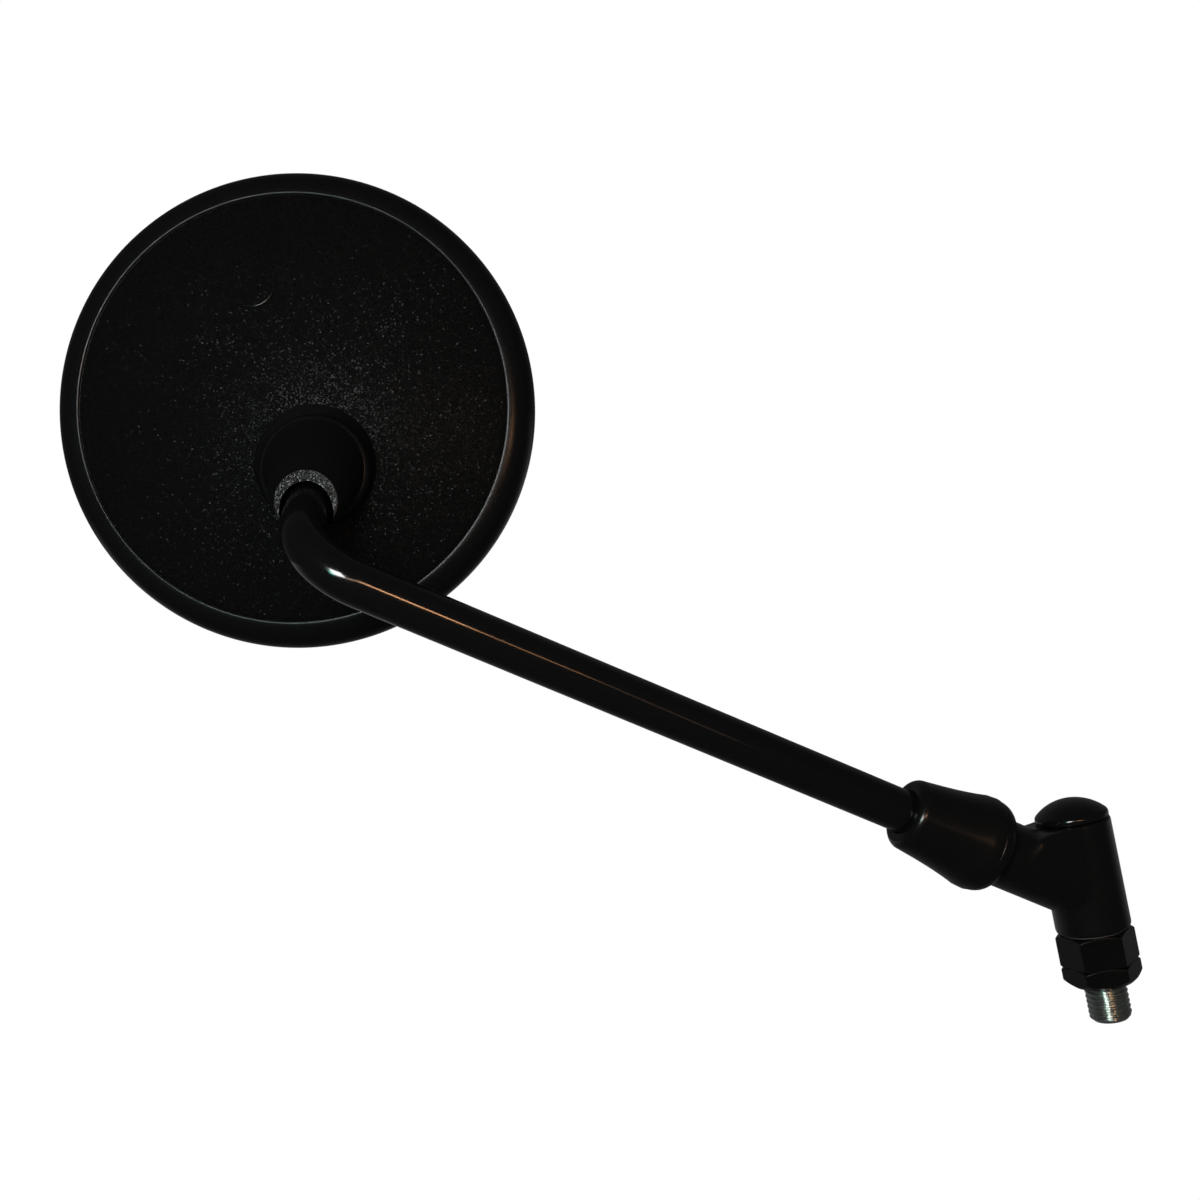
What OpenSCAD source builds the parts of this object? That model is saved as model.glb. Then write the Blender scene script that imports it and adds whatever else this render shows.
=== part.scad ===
// Round motorcycle mirror on a swivelling knuckle, in millimetres.
// The origin is on the stud's axis at the lock nut's underside, with +Z up along the stud.
// The housing's back faces -Y and the glass faces +Y; the head stands off towards -X.

/* [Head] */
// Diameter of the housing at its widest
head_d = 114; // [95:1:135]
// Width of the smooth rim band, seen from behind
rim_w = 6.1; // [4:0.1:9]
// Height of the rim band behind its widest circle
rim_rise = 6.4; // [4:0.1:9]
// Depth from the widest circle to the front edge
front_depth = 6; // [4:0.1:7]
// Height of the grained dome above its own edge
dome_rise = 7.6; // [4:0.1:12]
// Depth of the step between the rim band and the dome
rim_step = 0.7; // [0.3:0.1:1.2]
// Wall of the housing
wall = 2.2; // [1.6:0.1:3]
// Roll of the head about its own axis
head_roll = 6.5; // [0:0.5:15]
// Diameter of the bare raised patch
patch_d = 11.2; // [8:0.2:16]
// Distance of the patch above the head's centre
patch_up = 28.6; // [26:0.1:34]
// Height of the patch above the dome
patch_rise = 0.35; // [0.2:0.05:0.8]

/* [Boss] */
// Radius of the boss where it leaves the dome
boss_r = 14; // [13.5:0.1:16]
// Radius of the boss at its rounded shoulder
shoulder_r = 12.8; // [12.5:0.1:14]
// Height of the shoulder above the foot of the boss
shoulder_rise = 4; // [3:0.1:5]
// Rounding of the shoulder
shoulder_round = 1.6; // [0.8:0.1:2]
// Foot of the boss, measured from the ball's centre across
boss_x = 0.85; // [0:0.05:1.5]
// Foot of the boss above the ball's centre
boss_up = 5.8; // [5:0.1:6.5]
// Shoulder of the boss below its foot
shoulder_drop = 1.3; // [0.5:0.1:2]
// Radius of the boss's flat end face
face_r = 7.2; // [6.8:0.1:8]
// End face, measured from the ball's centre against across
face_x = 0.55; // [0:0.05:1]
// End face below the ball's centre
face_drop = 3.8; // [3:0.1:4.5]
// Edge break of the end face
face_break = 0.4; // [0.2:0.1:0.6]
// Distance of the end face in front of the ball's centre
face_reach = 10.2; // [9.6:0.1:12]

/* [Ball joint] */
// Radius of the ball
ball_r = 5.8; // [5.4:0.1:6]
// Ball centre, measured from the head's centre across
ball_x = 1; // [0:0.1:2]
// Ball centre behind the glass side's datum, towards -Y
ball_y = -15.8; // [-16.4:0.1:-15]
// Ball centre below the head's centre
ball_drop = 21.4; // [20:0.1:23]
// Radius of the neck behind the ball
neck_r = 3.9; // [3.4:0.1:4]
// Length of the neck from the ball's centre
neck_len = 8.2; // [7.6:0.1:9]
// Length of the taper from the neck to the full rod
neck_taper = 1.4; // [1:0.1:2]
// Wall of the plastic liner
liner_t = 0.65; // [0.5:0.05:0.7]
// Running clearance between the ball joint's spheres
ball_gap = 0.05; // [0.03:0.01:0.08]
// Wall of the cup behind the ball
cup_t = 1.4; // [1:0.1:1.6]
// Radius of the opening for the stem
mouth_r = 5.95; // [5.8:0.05:6.1]
// Length of the flare inside the stem's opening
flare_len = 4.2; // [3:0.1:5]
// Widening of the flare
flare_rise = 1.1; // [0.6:0.1:1.5]
// Wire of the cup's coil spring
cup_wire = 1.4; // [1:0.1:1.6]
// Turns of the cup's coil spring
cup_turns = 3; // [2:0.5:3.5]
// Thickness of the pressure washer
pressure_t = 1.2; // [0.8:0.1:1.5]
// Thickness of the retainer plate
plate_t = 1.5; // [1:0.1:2]
// Distance from the ball's centre to the retainer plate
plate_reach = 15.3; // [15:0.1:16]
// Radius of the retainer plate's screw circle
screw_circle = 12.5; // [12:0.1:13.5]
// Radius of a retainer screw's shank
screw_r = 1.45; // [1.2:0.05:1.6]
// Radius of a retainer screw's head
screw_head_r = 2.8; // [2.4:0.1:3]
// Height of a retainer screw's head
screw_head_h = 1.7; // [1.4:0.1:2]
// Width of the cross slot
slot_w = 0.7; // [0.5:0.1:0.9]
// Radius of a screw post
post_r = 3.2; // [2.8:0.1:3.6]

/* [Glass] */
// Thickness of the glass
glass_t = 2; // [1.8:0.1:2.4]
// Radius of the convex glass's surface
glass_curve = 1000; // [800:50:2000]
// Radial play of the glass in its pocket
glass_play = 0.3; // [0.2:0.05:0.5]
// Wall of the housing beside the glass
lip_wall = 1.7; // [1.4:0.1:2]
// Height of the bead that holds the glass
bead = 0.9; // [0.5:0.1:1.2]
// Thickness of the foam cushion at its edge
cushion_t = 1.2; // [0.8:0.1:1.6]
// Width of the foam cushion
cushion_w = 9; // [6:0.5:14]
// Width of the ledge behind the cushion
ledge_w = 3.4; // [2.5:0.1:5]

/* [Stem] */
// Radius of the stem
stem_r = 5; // [4.6:0.1:5]
// Length from the knuckle's centre to the corner of the bend
stem_len = 199; // [190:1:215]
// Rise of the stem above the horizontal
stem_rise = 33.7; // [30:0.1:37]
// Turn of the stem from -X towards -Y
stem_turn = 15.2; // [12:0.1:18]
// Length of the leg from the corner of the bend to the ball's centre
leg_len = 32.36; // [30:0.02:40]
// Angle of the leg from straight up, towards the glass side
leg_back = 58.62; // [50:0.02:70]
// Angle of the leg to the side, towards +X
leg_side = 2.1; // [0:0.1:6]
// Radius of the bend along the stem's middle
bend_r = 15; // [12:0.5:17]

/* [Knuckle] */
// Radius of the barrel
barrel_r = 8.7; // [8.5:0.1:10]
// Height of the barrel's top face
barrel_top = 39.1; // [37.5:0.1:40]
// Height where the arm's axis meets the barrel's axis
arm_z = 22.6; // [21:0.1:24]
// Radius of the arm
arm_r = 8; // [7.6:0.1:8]
// Length of the arm along its own axis
arm_len = 37; // [35:0.5:40]
// Distance from the barrel's axis to the bottom of the stem's hole
socket_start = 16; // [15:0.5:20]
// Clearance of the stem's thread in the arm
thread_gap = 0.05; // [0.03:0.01:0.08]
// Radius of the flat cut around the cap
spot_r = 11; // [10:0.5:16]
// Radius of the counterbore for the pivot's springs
counter_r = 7.2; // [7.1:0.05:7.4]
// Height of the counterbore's floor
counter_z = 24; // [22:0.5:25]
// Length of the level top of the web between the arm and the barrel
web_len = 10; // [8:0.5:12]
// Half the width of the web
web_half = 8.2; // [7.5:0.1:8.6]
// Edge rounding of the casting
cast_round = 0.5; // [0.3:0.1:0.8]

/* [Pivot] */
// Radius of the pivot shaft
shaft_r = 4; // [3.6:0.1:4.1]
// Running clearance of the shaft
shaft_gap = 0.05; // [0.03:0.01:0.08]
// Wall of the pivot bush
bush_t = 1.4; // [1:0.1:1.8]
// Thickness of the friction washer
friction_t = 1; // [0.8:0.1:1.5]
// Thickness of the plain spring washers
washer_t = 1; // [0.8:0.1:1.2]
// Thickness of a disc spring's sheet
disc_t = 0.5; // [0.4:0.05:0.6]
// Cone height of a disc spring
disc_rise = 0.35; // [0.2:0.05:0.5]
// Height of the nut on the pivot shaft
spindle_nut_h = 6; // [5:0.1:6.5]
// Width across the flats of the nut on the pivot shaft
spindle_nut_af = 12; // [11:0.1:12]
// Length of the shaft above its nut
shaft_over = 1; // [0.5:0.1:1.5]

/* [Cap] */
// Radius of the cap's band
cap_r = 8.5; // [8.2:0.1:8.8]
// Height of the cap's band
cap_band = 1.5; // [1:0.1:3]
// Groove between the barrel and the cap's band
cap_groove = 0.4; // [0.2:0.1:0.8]
// Rounding between the band and the dome
cap_round = 1.4; // [0.6:0.1:1.8]
// Rise of the dome above the band
cap_dome = 3.3; // [3:0.1:5]
// Wall of the cap
cap_t = 1.3; // [1:0.1:1.6]
// Length of the skirt inside the barrel
skirt_len = 2.4; // [1.5:0.1:3]

/* [Hexagon and stud] */
// Width across the flats of the hexagon and of the stud's nut
hex_af = 16; // [15.6:0.1:18]
// Height of the stud's lock nut
stud_nut_h = 5; // [4:0.1:6]
// Height of the hexagon
hex_h = 7.5; // [6:0.1:8]
// Radius of the lock nut's bearing face
stud_nut_foot_r = 7; // [6:0.1:7.6]
// Turn of both hexagons from the facing direction
hex_turn = 10; // [0:1:59]
// Radius of the stud
stud_r = 4.9; // [4.8:0.1:5]
// Length of the stud's full thread below the lock nut
stud_len = 8.1; // [8:0.1:12]
// Chamfer at the stud's tip
stud_tip = 0.8; // [0.5:0.1:1.2]
// Depth of the stud's thread, inside the nut and the hexagon
stud_relief = 0.6; // [0.5:0.05:0.8]

/* [Boot and stem nut] */
// Width across the flats of the stem's lock nut
stem_nut_af = 14; // [13.5:0.1:14]
// Height of the stem's lock nut
stem_nut_h = 5.5; // [5:0.1:6]
// Length of the arm that the boot covers
boot_over = 10.4; // [9:0.1:11]
// Length of the boot
boot_len = 24.4; // [22:0.1:27]
// Radius of the boot's lower lip
boot_lip_r = 11.2; // [11:0.1:12]
// Distance of the boot's crease from its lower lip
boot_crease = 3.4; // [2.8:0.1:4]
// Depth of the boot's waist
boot_waist = 0.3; // [0:0.05:0.6]
// Radius of the boot's rounded shoulder
boot_neck_r = 8.4; // [8.2:0.1:9]
// Wall of the boot at the stem
boot_t = 2.4; // [2:0.1:3]
// Clearance of the boot on the stem
boot_gap = 0.1; // [0.05:0.01:0.15]
// Clearance of the boot over the arm and the nut
boot_room = 0.3; // [0.2:0.05:0.4]

/* [Hidden] */

black = [0.07, 0.07, 0.08];
zinc = [0.75, 0.77, 0.8];
steel = [0.6, 0.62, 0.65];
nylon = [0.85, 0.83, 0.75];
fine = 96;
seat = 0.02;
thin = 0.05;
lap = 0.3;

// Unit vector along v.
function unit(v) = v / norm(v);
// Point on an arc about c, at radii a and b, for the angle t.
function arc_point(c, a, b, t) = [c[0] + a * cos(t), c[1] + b * sin(t)];
// Points of an arc from the angle t0 to the angle t1 in n steps.
function arc(c, a, b, t0, t1, n) = [for (i = [0:n]) arc_point(c, a, b, t0 + (t1 - t0) * i / n)];
// Radius across the corners of a hexagon with the given width across its flats.
function corner_r(af) = af / 2 / cos(30);

// Levels of the housing, measured from the head's datum towards -Y.
widest = -4.5;
front = widest - front_depth;
head_r = head_d / 2;
dome_r = head_r - rim_w - 0.3;
rim_top = widest + rim_rise;
dome_foot = rim_top - rim_step;
dome_top = dome_foot + dome_rise;
dome_curve = (dome_r * dome_r + dome_rise * dome_rise) / (2 * dome_rise);
// Height of a sphere of the dome's centre at the radius r, pushed in by the depth d.
function dome_at(r, d = 0) = dome_top - dome_curve + sqrt(pow(dome_curve - d, 2) - r * r);

// Glass pocket.
pocket_r = head_r - 2 * lip_wall;
glass_r = pocket_r - glass_play;
glass_sag = glass_curve - sqrt(glass_curve * glass_curve - glass_r * glass_r);
glass_front = front + bead + 0.05;
glass_back = glass_front + glass_t;
ledge = glass_back + cushion_t;

// Ball joint. The head's own axes are across, towards -Y and up.
ball = [ball_x, -ball_y, -ball_drop];
boss_c = [ball_x + boss_x, ball[2] + boss_up];
shoulder_c = boss_c - [0, shoulder_drop];
face_level = -ball_y + face_reach;
face_c = [ball_x - face_x, ball[2] - face_drop];
socket_r = ball_r + liner_t + 2 * ball_gap;
bore_r = socket_r + 0.1;
cup_out = ball_r + ball_gap + cup_t;
cup_edge = 55;
liner_from = 47;
liner_to = 78;
pressure_in = 4;
pressure_out = bore_r - 0.3;
pressure_level = sqrt(cup_out * cup_out - pressure_in * pressure_in) + seat;
spring_mid_r = pressure_out - cup_wire / 2 - 0.1;
spring_from = pressure_level + pressure_t + seat;
plate_from = plate_reach;
plate_hole = 3;
screw_grip = 5.6;
screw_angles = [30, 150, 270];

// Directions of the stem, in the part's own frame.
arm_dir = [-cos(stem_rise) * cos(stem_turn), -cos(stem_rise) * sin(stem_turn), sin(stem_rise)];
arm_o = [0, 0, arm_z];
corner = arm_o + stem_len * arm_dir;
leg = [sin(leg_side), cos(leg_side) * sin(leg_back), cos(leg_side) * cos(leg_back)];
ball_c = corner + leg_len * leg;
// Turns a vector of the head's own frame into the part's frame.
function head_to_part(v) = [
    v[0] * cos(head_roll) - v[2] * sin(head_roll), v[1], v[0] * sin(head_roll) + v[2] * cos(head_roll)
];
head_c = ball_c - head_to_part([ball_x, ball_y, -ball_drop]);
bend_in = acos(-arm_dir * leg);
bend_t = bend_r / tan(bend_in / 2);
bend_c = corner + unit(leg - arm_dir) * bend_r / sin(bend_in / 2);
bend_x = unit(corner - bend_t * arm_dir - bend_c);
bend_z = unit(cross(bend_x, arm_dir));
neck_end = neck_len + neck_taper;

// Levels of the pivot, along the barrel's axis.
hex_top = stud_nut_h + hex_h;
barrel_foot = hex_top + 0.3;
bush_foot = hex_top + friction_t;
bush_r = shaft_r + shaft_gap + bush_t;
washer_r = counter_r - 0.2;
disc_h = disc_t + disc_rise;
discs_z = counter_z + washer_t;
upper_z = discs_z + 4 * disc_h;
nut_z = upper_z + washer_t;
shaft_top = nut_z + spindle_nut_h + shaft_over;
cap_foot = barrel_top + cap_groove;
cap_shoulder = cap_foot + cap_band;
stem_nut_at = arm_len;
boot_start = arm_len - boot_over;
boot_end = boot_start + boot_len;

// Puts children, drawn along +Z, with their origin at p and +Z along d.
module aim(p, d) {
    translate(p) rotate([0, acos(d[2] / norm(d)), atan2(d[1], d[0])]) children();
}

// Puts children drawn in the head's own frame, across, up and along +Z towards -Y.
module head_frame() {
    translate(head_c) rotate([0, -head_roll, 0]) rotate([90, 0, 0]) children();
}

// Puts children at the ball's centre, with +Z towards the glass.
module ball_frame() {
    head_frame() translate([ball[0], ball[2], ball[1]]) rotate([180, 0, 0]) children();
}

// Ring between two radii and two heights.
module ring(r_in, r_out, z0, z1) {
    translate([0, 0, z0]) difference() {
        cylinder(r = r_out, h = z1 - z0, $fn = fine);
        translate([0, 0, -1]) cylinder(r = r_in, h = z1 - z0 + 2, $fn = fine);
    }
}

// Hexagonal prism with a bore and both ends chamfered; the lower end's face has the radius foot_r.
module hex_body(af, h, bore, foot_r) {
    c = corner_r(af);
    top_r = af / 2 - 0.2;
    difference() {
        intersection() {
            cylinder(r = c, h = h, $fn = 6);
            rotate_extrude($fn = fine) polygon([
                [0, 0], [foot_r, 0], [c + 0.1, (c + 0.1 - foot_r) * 0.8],
                [c + 0.1, h - (c + 0.1 - top_r) * 0.55], [top_r, h], [0, h]
            ]);
        }
        translate([0, 0, -1]) cylinder(r = bore, h = h + 2, $fn = fine);
    }
}

// Section of the housing's shell: rim band, step, dome, cavity, ledge, glass pocket and bead.
module housing_section() {
    inner_r = pocket_r - ledge_w;
    polygon(concat(
        [[pocket_r - bead, front], [head_r - lip_wall - 0.5, front]],
        arc([head_r - lip_wall, widest], lip_wall, front_depth * 1.02, -70, 0, 8),
        arc([head_r - rim_w, widest], rim_w, rim_rise, 8, 90, 12),
        [[dome_r + 0.1, rim_top - 0.1], [dome_r, dome_foot]],
        [for (i = [11:-1:0]) [dome_r * i / 12, dome_at(dome_r * i / 12)]],
        [for (i = [0:8]) [(inner_r - 4) * i / 8, dome_at((inner_r - 4) * i / 8, wall)]],
        arc([inner_r - 4, dome_at(inner_r - 4, wall) - 4], 4, 4, 75, 0, 5),
        [[inner_r, ledge], [pocket_r, ledge], [pocket_r, glass_front], [pocket_r - bead, glass_front - 0.6]]
    ));
}

// Disc for a hull: a thin round plate of radius r at a level, centred at c.
module hull_disc(c, level, r) {
    translate([c[0], c[1], level]) cylinder(r = r, h = thin, $fn = 64);
}

// Slanted boss: foot, rounded shoulder and flat end face.
module boss_outer() {
    foot = dome_at(norm(boss_c)) - 1.5;
    top = foot + 1.5 + shoulder_rise;
    hull() {
        hull_disc(boss_c, foot, boss_r);
        for (t = [0:15:75]) {
            in = shoulder_round * (1 - cos(t));
            down = shoulder_round * (1 - sin(t));
            hull_disc(shoulder_c, top - down, shoulder_r - in);
        }
        hull_disc(face_c, face_level - face_break - thin, face_r);
        hull_disc(face_c, face_level - thin, face_r - face_break);
    }
}

// Room for the ball, its cup and its spring.
module boss_room() {
    ball_frame() {
        sphere(r = socket_r, $fn = fine);
        cylinder(r = bore_r, h = plate_from + 1, $fn = fine);
    }
}

// Way out for the stem, flared inside, along the stem's leg.
module stem_way() {
    flare_from = ball_r - 1.4;
    aim(ball_c, -leg) rotate_extrude($fn = fine) polygon([
        [0, flare_from], [mouth_r - flare_rise, flare_from], [mouth_r, flare_from + flare_len],
        [mouth_r, face_reach * 2.4], [0, face_reach * 2.4]
    ]);
}

// Posts for the retainer plate's screws, each footed inside the dome's wall where it stands.
module screw_posts() {
    for (a = screw_angles) {
        c = [ball[0] + screw_circle * cos(a), ball[2] - screw_circle * sin(a)];
        top = dome_at(norm(c) + post_r, wall) + wall / 2;
        foot = -ball_y - plate_from;
        head_frame() translate([c[0], c[1], foot]) cylinder(r = post_r, h = top - foot, $fn = fine);
    }
}

module head_housing() {
    color(black) difference() {
        union() {
            head_frame() {
                rotate_extrude($fn = 128) housing_section();
                boss_outer();
                translate([0, patch_up, 0]) intersection() {
                    translate([0, 0, dome_foot]) cylinder(r = patch_d / 2, h = dome_rise + 2, $fn = fine);
                    translate([0, -patch_up, dome_top - dome_curve])
                        rotate_extrude($fn = 128) polygon(concat(
                            [[0, dome_curve - wall / 2]],
                            [for (i = [0:8]) [dome_r * (8 - i) / 8,
                                sqrt(pow(dome_curve + patch_rise, 2) - pow(dome_r * (8 - i) / 8, 2))]]
                        ));
                }
            }
            screw_posts();
            ball_frame() cylinder(r = bore_r + 1.4, h = 9, $fn = fine);
        }
        boss_room();
        stem_way();
        ball_frame() for (a = screw_angles) rotate([0, 0, a]) translate([screw_circle, 0, 0])
            translate([0, 0, plate_from - screw_grip]) cylinder(r = screw_r, h = screw_grip + 1, $fn = fine);
    }
}

module mirror_glass() {
    color([0.7, 0.8, 0.85]) head_frame() rotate_extrude($fn = 128) polygon(concat(
        [for (i = [0:8]) let (r = glass_r * i / 8)
            [r, glass_front - glass_sag + glass_curve - sqrt(glass_curve * glass_curve - r * r)]],
        [for (i = [8:-1:0]) let (r = glass_r * i / 8)
            [r, glass_back - glass_sag + glass_curve - sqrt(glass_curve * glass_curve - r * r)]]
    ));
}

module glass_cushion() {
    inner = glass_r - cushion_w;
    color([0.2, 0.2, 0.2]) head_frame() rotate_extrude($fn = fine) polygon(concat(
        [for (i = [0:4]) let (r = inner + cushion_w * i / 4)
            [r, glass_back + seat - glass_sag + glass_curve - sqrt(glass_curve * glass_curve - r * r)]],
        [[glass_r, ledge - seat], [inner, ledge - seat]]
    ));
}

// Part of a spherical shell between two angles from +Z.
module shell_zone(r_in, r_out, a0, a1) {
    rotate_extrude($fn = fine) polygon(concat(
        [for (i = [0:10]) let (a = a0 + (a1 - a0) * i / 10) [r_out * sin(a), r_out * cos(a)]],
        [for (i = [10:-1:0]) let (a = a0 + (a1 - a0) * i / 10) [r_in * sin(a), r_in * cos(a)]]
    ));
}

module ball_liner() {
    color(nylon) aim(ball_c, -leg)
        shell_zone(ball_r + ball_gap, ball_r + ball_gap + liner_t, liner_from, liner_to);
}

module ball_cup() {
    color(nylon) ball_frame() difference() {
        intersection() {
            sphere(r = cup_out, $fn = fine);
            cylinder(r1 = 0, r2 = 2 * cup_out * tan(cup_edge), h = 2 * cup_out, $fn = fine);
        }
        sphere(r = ball_r + ball_gap, $fn = fine);
    }
}

module pressure_washer() {
    color(steel) ball_frame() ring(pressure_in, pressure_out, pressure_level, pressure_level + pressure_t);
}

// Coil spring with open ends, as a round wire swept along a helix.
module coil(r_mid, wire_r, z0, z1, turns) {
    steps = 24;
    sides = 10;
    n = round(turns * steps);
    rise = (z1 - z0 - 2 * wire_r) / n;
    points = [for (i = [0:n]) for (j = [0:sides - 1])
        let (a = 360 * i / steps, b = 360 * j / sides, r = r_mid + wire_r * cos(b))
        [r * cos(a), r * sin(a), z0 + wire_r + rise * i + wire_r * sin(b)]];
    walls = [for (i = [0:n - 1]) for (j = [0:sides - 1])
        [i * sides + j, i * sides + (j + 1) % sides, (i + 1) * sides + (j + 1) % sides, (i + 1) * sides + j]];
    caps = [[for (j = [sides - 1:-1:0]) j], [for (j = [0:sides - 1]) n * sides + j]];
    polyhedron(points = points, faces = concat(walls, caps));
}

module cup_spring() {
    color(steel) ball_frame() coil(spring_mid_r, cup_wire / 2, spring_from, plate_from - seat, cup_turns);
}

module retainer_plate() {
    color(zinc) ball_frame() translate([0, 0, plate_from + seat]) linear_extrude(plate_t - seat)
        difference() {
            union() {
                circle(r = bore_r + 2, $fn = fine);
                for (a = screw_angles) rotate(a) {
                    translate([screw_circle, 0]) circle(r = post_r + 0.6, $fn = fine);
                    translate([0, -post_r]) square([screw_circle, 2 * post_r]);
                }
            }
            circle(r = plate_hole, $fn = fine);
            for (a = screw_angles) rotate(a)
                translate([screw_circle, 0]) circle(r = screw_r + 0.2, $fn = fine);
        }
}

module retainer_screw(i) {
    slot_l = screw_head_r * 1.15;
    shank = screw_grip + plate_t - 0.4;
    color(zinc) ball_frame() rotate(screw_angles[i]) translate([screw_circle, 0, plate_from + plate_t]) {
        difference() {
            rotate_extrude($fn = 48) polygon(concat(
                [[0, 0], [screw_head_r, 0]],
                arc([screw_head_r - 1, screw_head_h - 1], 1, 1, 0, 90, 4),
                [[0, screw_head_h]]
            ));
            for (q = [0, 90]) rotate([0, 0, q])
                translate([-slot_l / 2, -slot_w / 2, screw_head_h / 2]) cube([slot_l, slot_w, screw_head_h]);
        }
        translate([0, 0, 0.01 - shank]) cylinder(r = screw_r - seat, h = shank, $fn = 48);
    }
}

module mirror_stem() {
    straight = stem_len - bend_t - socket_start;
    leg_straight = leg_len - bend_t - neck_end;
    color(black) multmatrix([
        [bend_x[0], arm_dir[0], bend_z[0], bend_c[0]],
        [bend_x[1], arm_dir[1], bend_z[1], bend_c[1]],
        [bend_x[2], arm_dir[2], bend_z[2], bend_c[2]],
        [0, 0, 0, 1]
    ]) {
        rotate_extrude(angle = 180 - bend_in, $fn = 96) translate([bend_r, 0])
            circle(r = stem_r - seat, $fn = 48);
        translate([bend_r, 0, 0]) rotate([90, 0, 0]) rotate_extrude($fn = fine) polygon([
            [0, -lap], [stem_r, -lap], [stem_r, straight - 1], [stem_r - 1, straight], [0, straight]
        ]);
        rotate([0, 0, 180 - bend_in]) translate([bend_r, 0, 0]) rotate([-90, 0, 0]) {
            rotate_extrude($fn = fine) polygon([
                [0, -lap], [stem_r, -lap], [stem_r, leg_straight], [neck_r, leg_straight + neck_taper],
                [neck_r, leg_straight + neck_end], [0, leg_straight + neck_end]
            ]);
            translate([0, 0, leg_straight + neck_end]) sphere(r = ball_r, $fn = 64);
        }
    }
}

module stem_locknut() {
    color(zinc) aim(arm_o, arm_dir) translate([0, 0, stem_nut_at + seat])
        hex_body(stem_nut_af, stem_nut_h, stem_r + thread_gap, stem_nut_af / 2 - 0.2);
}

// Boot: an end that hugs the arm, a crease, the widest ring, a waisted taper and a rounded shoulder.
module rubber_boot() {
    room_r = max(arm_r, corner_r(stem_nut_af)) + boot_room;
    room_end = stem_nut_at + stem_nut_h + 0.8;
    crease = boot_start + boot_crease;
    taper_from = crease + 2.2;
    taper_to = boot_end - boot_t;
    span = taper_to - taper_from;
    drop = boot_lip_r - boot_neck_r;
    color(black) aim(arm_o, arm_dir) rotate_extrude($fn = fine) polygon(concat(
        [[room_r, boot_start + 0.3], [room_r + 0.3, boot_start]],
        arc([room_r + 0.5, crease], boot_lip_r - room_r - 0.7, boot_crease, -78, -8, 7),
        [[boot_lip_r - 0.35, crease]],
        arc([boot_lip_r - 0.4, crease + 0.5], 0.4, 0.4, -80, 0, 3),
        [for (i = [0:12]) let (q = i / 12, waist = boot_waist * sin(180 * pow(q, 0.8)))
            [boot_lip_r - drop * q - waist, taper_from + span * q]],
        arc([boot_neck_r - 2, taper_to], 2, boot_t, 12, 80, 7),
        [[stem_r + 0.6, boot_end], [stem_r + boot_gap, boot_end - 0.5], [stem_r + boot_gap, room_end + 2],
            [room_r - 1.5, room_end + 1], [room_r, room_end]]
    ));
}

// Side of the web: level at the barrel's top, then sloping down to the arm's middle line.
module web_side() {
    slope = tan(stem_rise);
    polygon([
        [0, arm_z], [0, barrel_top], [web_len, barrel_top], [web_len + 4, barrel_top - 0.9],
        [web_len + 7, barrel_top - 4], [web_len + 7, arm_z + (web_len + 7) * slope]
    ]);
}

module knuckle_body() {
    color([0.1, 0.1, 0.11]) difference() {
        union() {
            rotate_extrude($fn = fine) polygon(concat(
                [[0, barrel_foot], [barrel_r - cast_round, barrel_foot], [barrel_r, barrel_foot + cast_round]],
                arc([barrel_r - cast_round, barrel_top - cast_round], cast_round, cast_round, 0, 90, 4),
                [[0, barrel_top]]
            ));
            aim(arm_o, arm_dir) rotate_extrude($fn = fine) polygon([
                [0, 0], [arm_r, 0], [arm_r, arm_len - cast_round], [arm_r - cast_round, arm_len], [0, arm_len]
            ]);
            rotate([90, 0, 180 + stem_turn]) linear_extrude(2 * web_half, center = true) web_side();
        }
        translate([0, 0, barrel_top]) cylinder(r = spot_r, h = 20, $fn = fine);
        translate([0, 0, barrel_foot - 5]) cylinder(r = arm_len + stem_r, h = 5, $fn = fine);
        translate([0, 0, barrel_foot - 1])
            cylinder(r = counter_r + 0.6, h = bush_foot - barrel_foot + 1, $fn = fine);
        translate([0, 0, bush_foot - 1]) cylinder(r = bush_r, h = 20, $fn = fine);
        translate([0, 0, counter_z]) cylinder(r = counter_r, h = barrel_top, $fn = fine);
        aim(arm_o, arm_dir) translate([0, 0, socket_start - 0.5])
            cylinder(r = stem_r + thread_gap, h = arm_len, $fn = fine);
    }
}

module pivot_bush() {
    color([0.75, 0.6, 0.35]) ring(shaft_r + shaft_gap, bush_r - seat, bush_foot, counter_z);
}

module friction_washer() {
    color([0.3, 0.28, 0.25]) ring(shaft_r + shaft_gap, counter_r + 0.4, hex_top, bush_foot);
}

module spring_washer(z) {
    color(steel) ring(shaft_r + shaft_gap, washer_r, z, z + washer_t);
}

// Disc spring number i, every second one turned over.
module disc_spring(i) {
    z0 = discs_z + i * disc_h;
    flip = i % 2;
    inner = shaft_r + 0.15;
    color(steel) translate([0, 0, z0 + flip * disc_h]) mirror([0, 0, flip]) rotate_extrude($fn = fine)
        polygon([[inner, disc_rise], [inner, disc_h], [washer_r, disc_t], [washer_r, 0]]);
}

module spindle_nut() {
    color(zinc) translate([0, 0, nut_z])
        hex_body(spindle_nut_af, spindle_nut_h, shaft_r + shaft_gap, spindle_nut_af / 2 - 0.2);
}

// Points of a dome of radius r and height h standing on the level z, from its rim to its middle.
function dome_points(r, h, z, n) = let (c = (r * r + h * h) / (2 * h))
    [for (i = [n:-1:0]) let (x = r * i / n) [x, z + h - c + sqrt(c * c - x * x)]];

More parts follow.
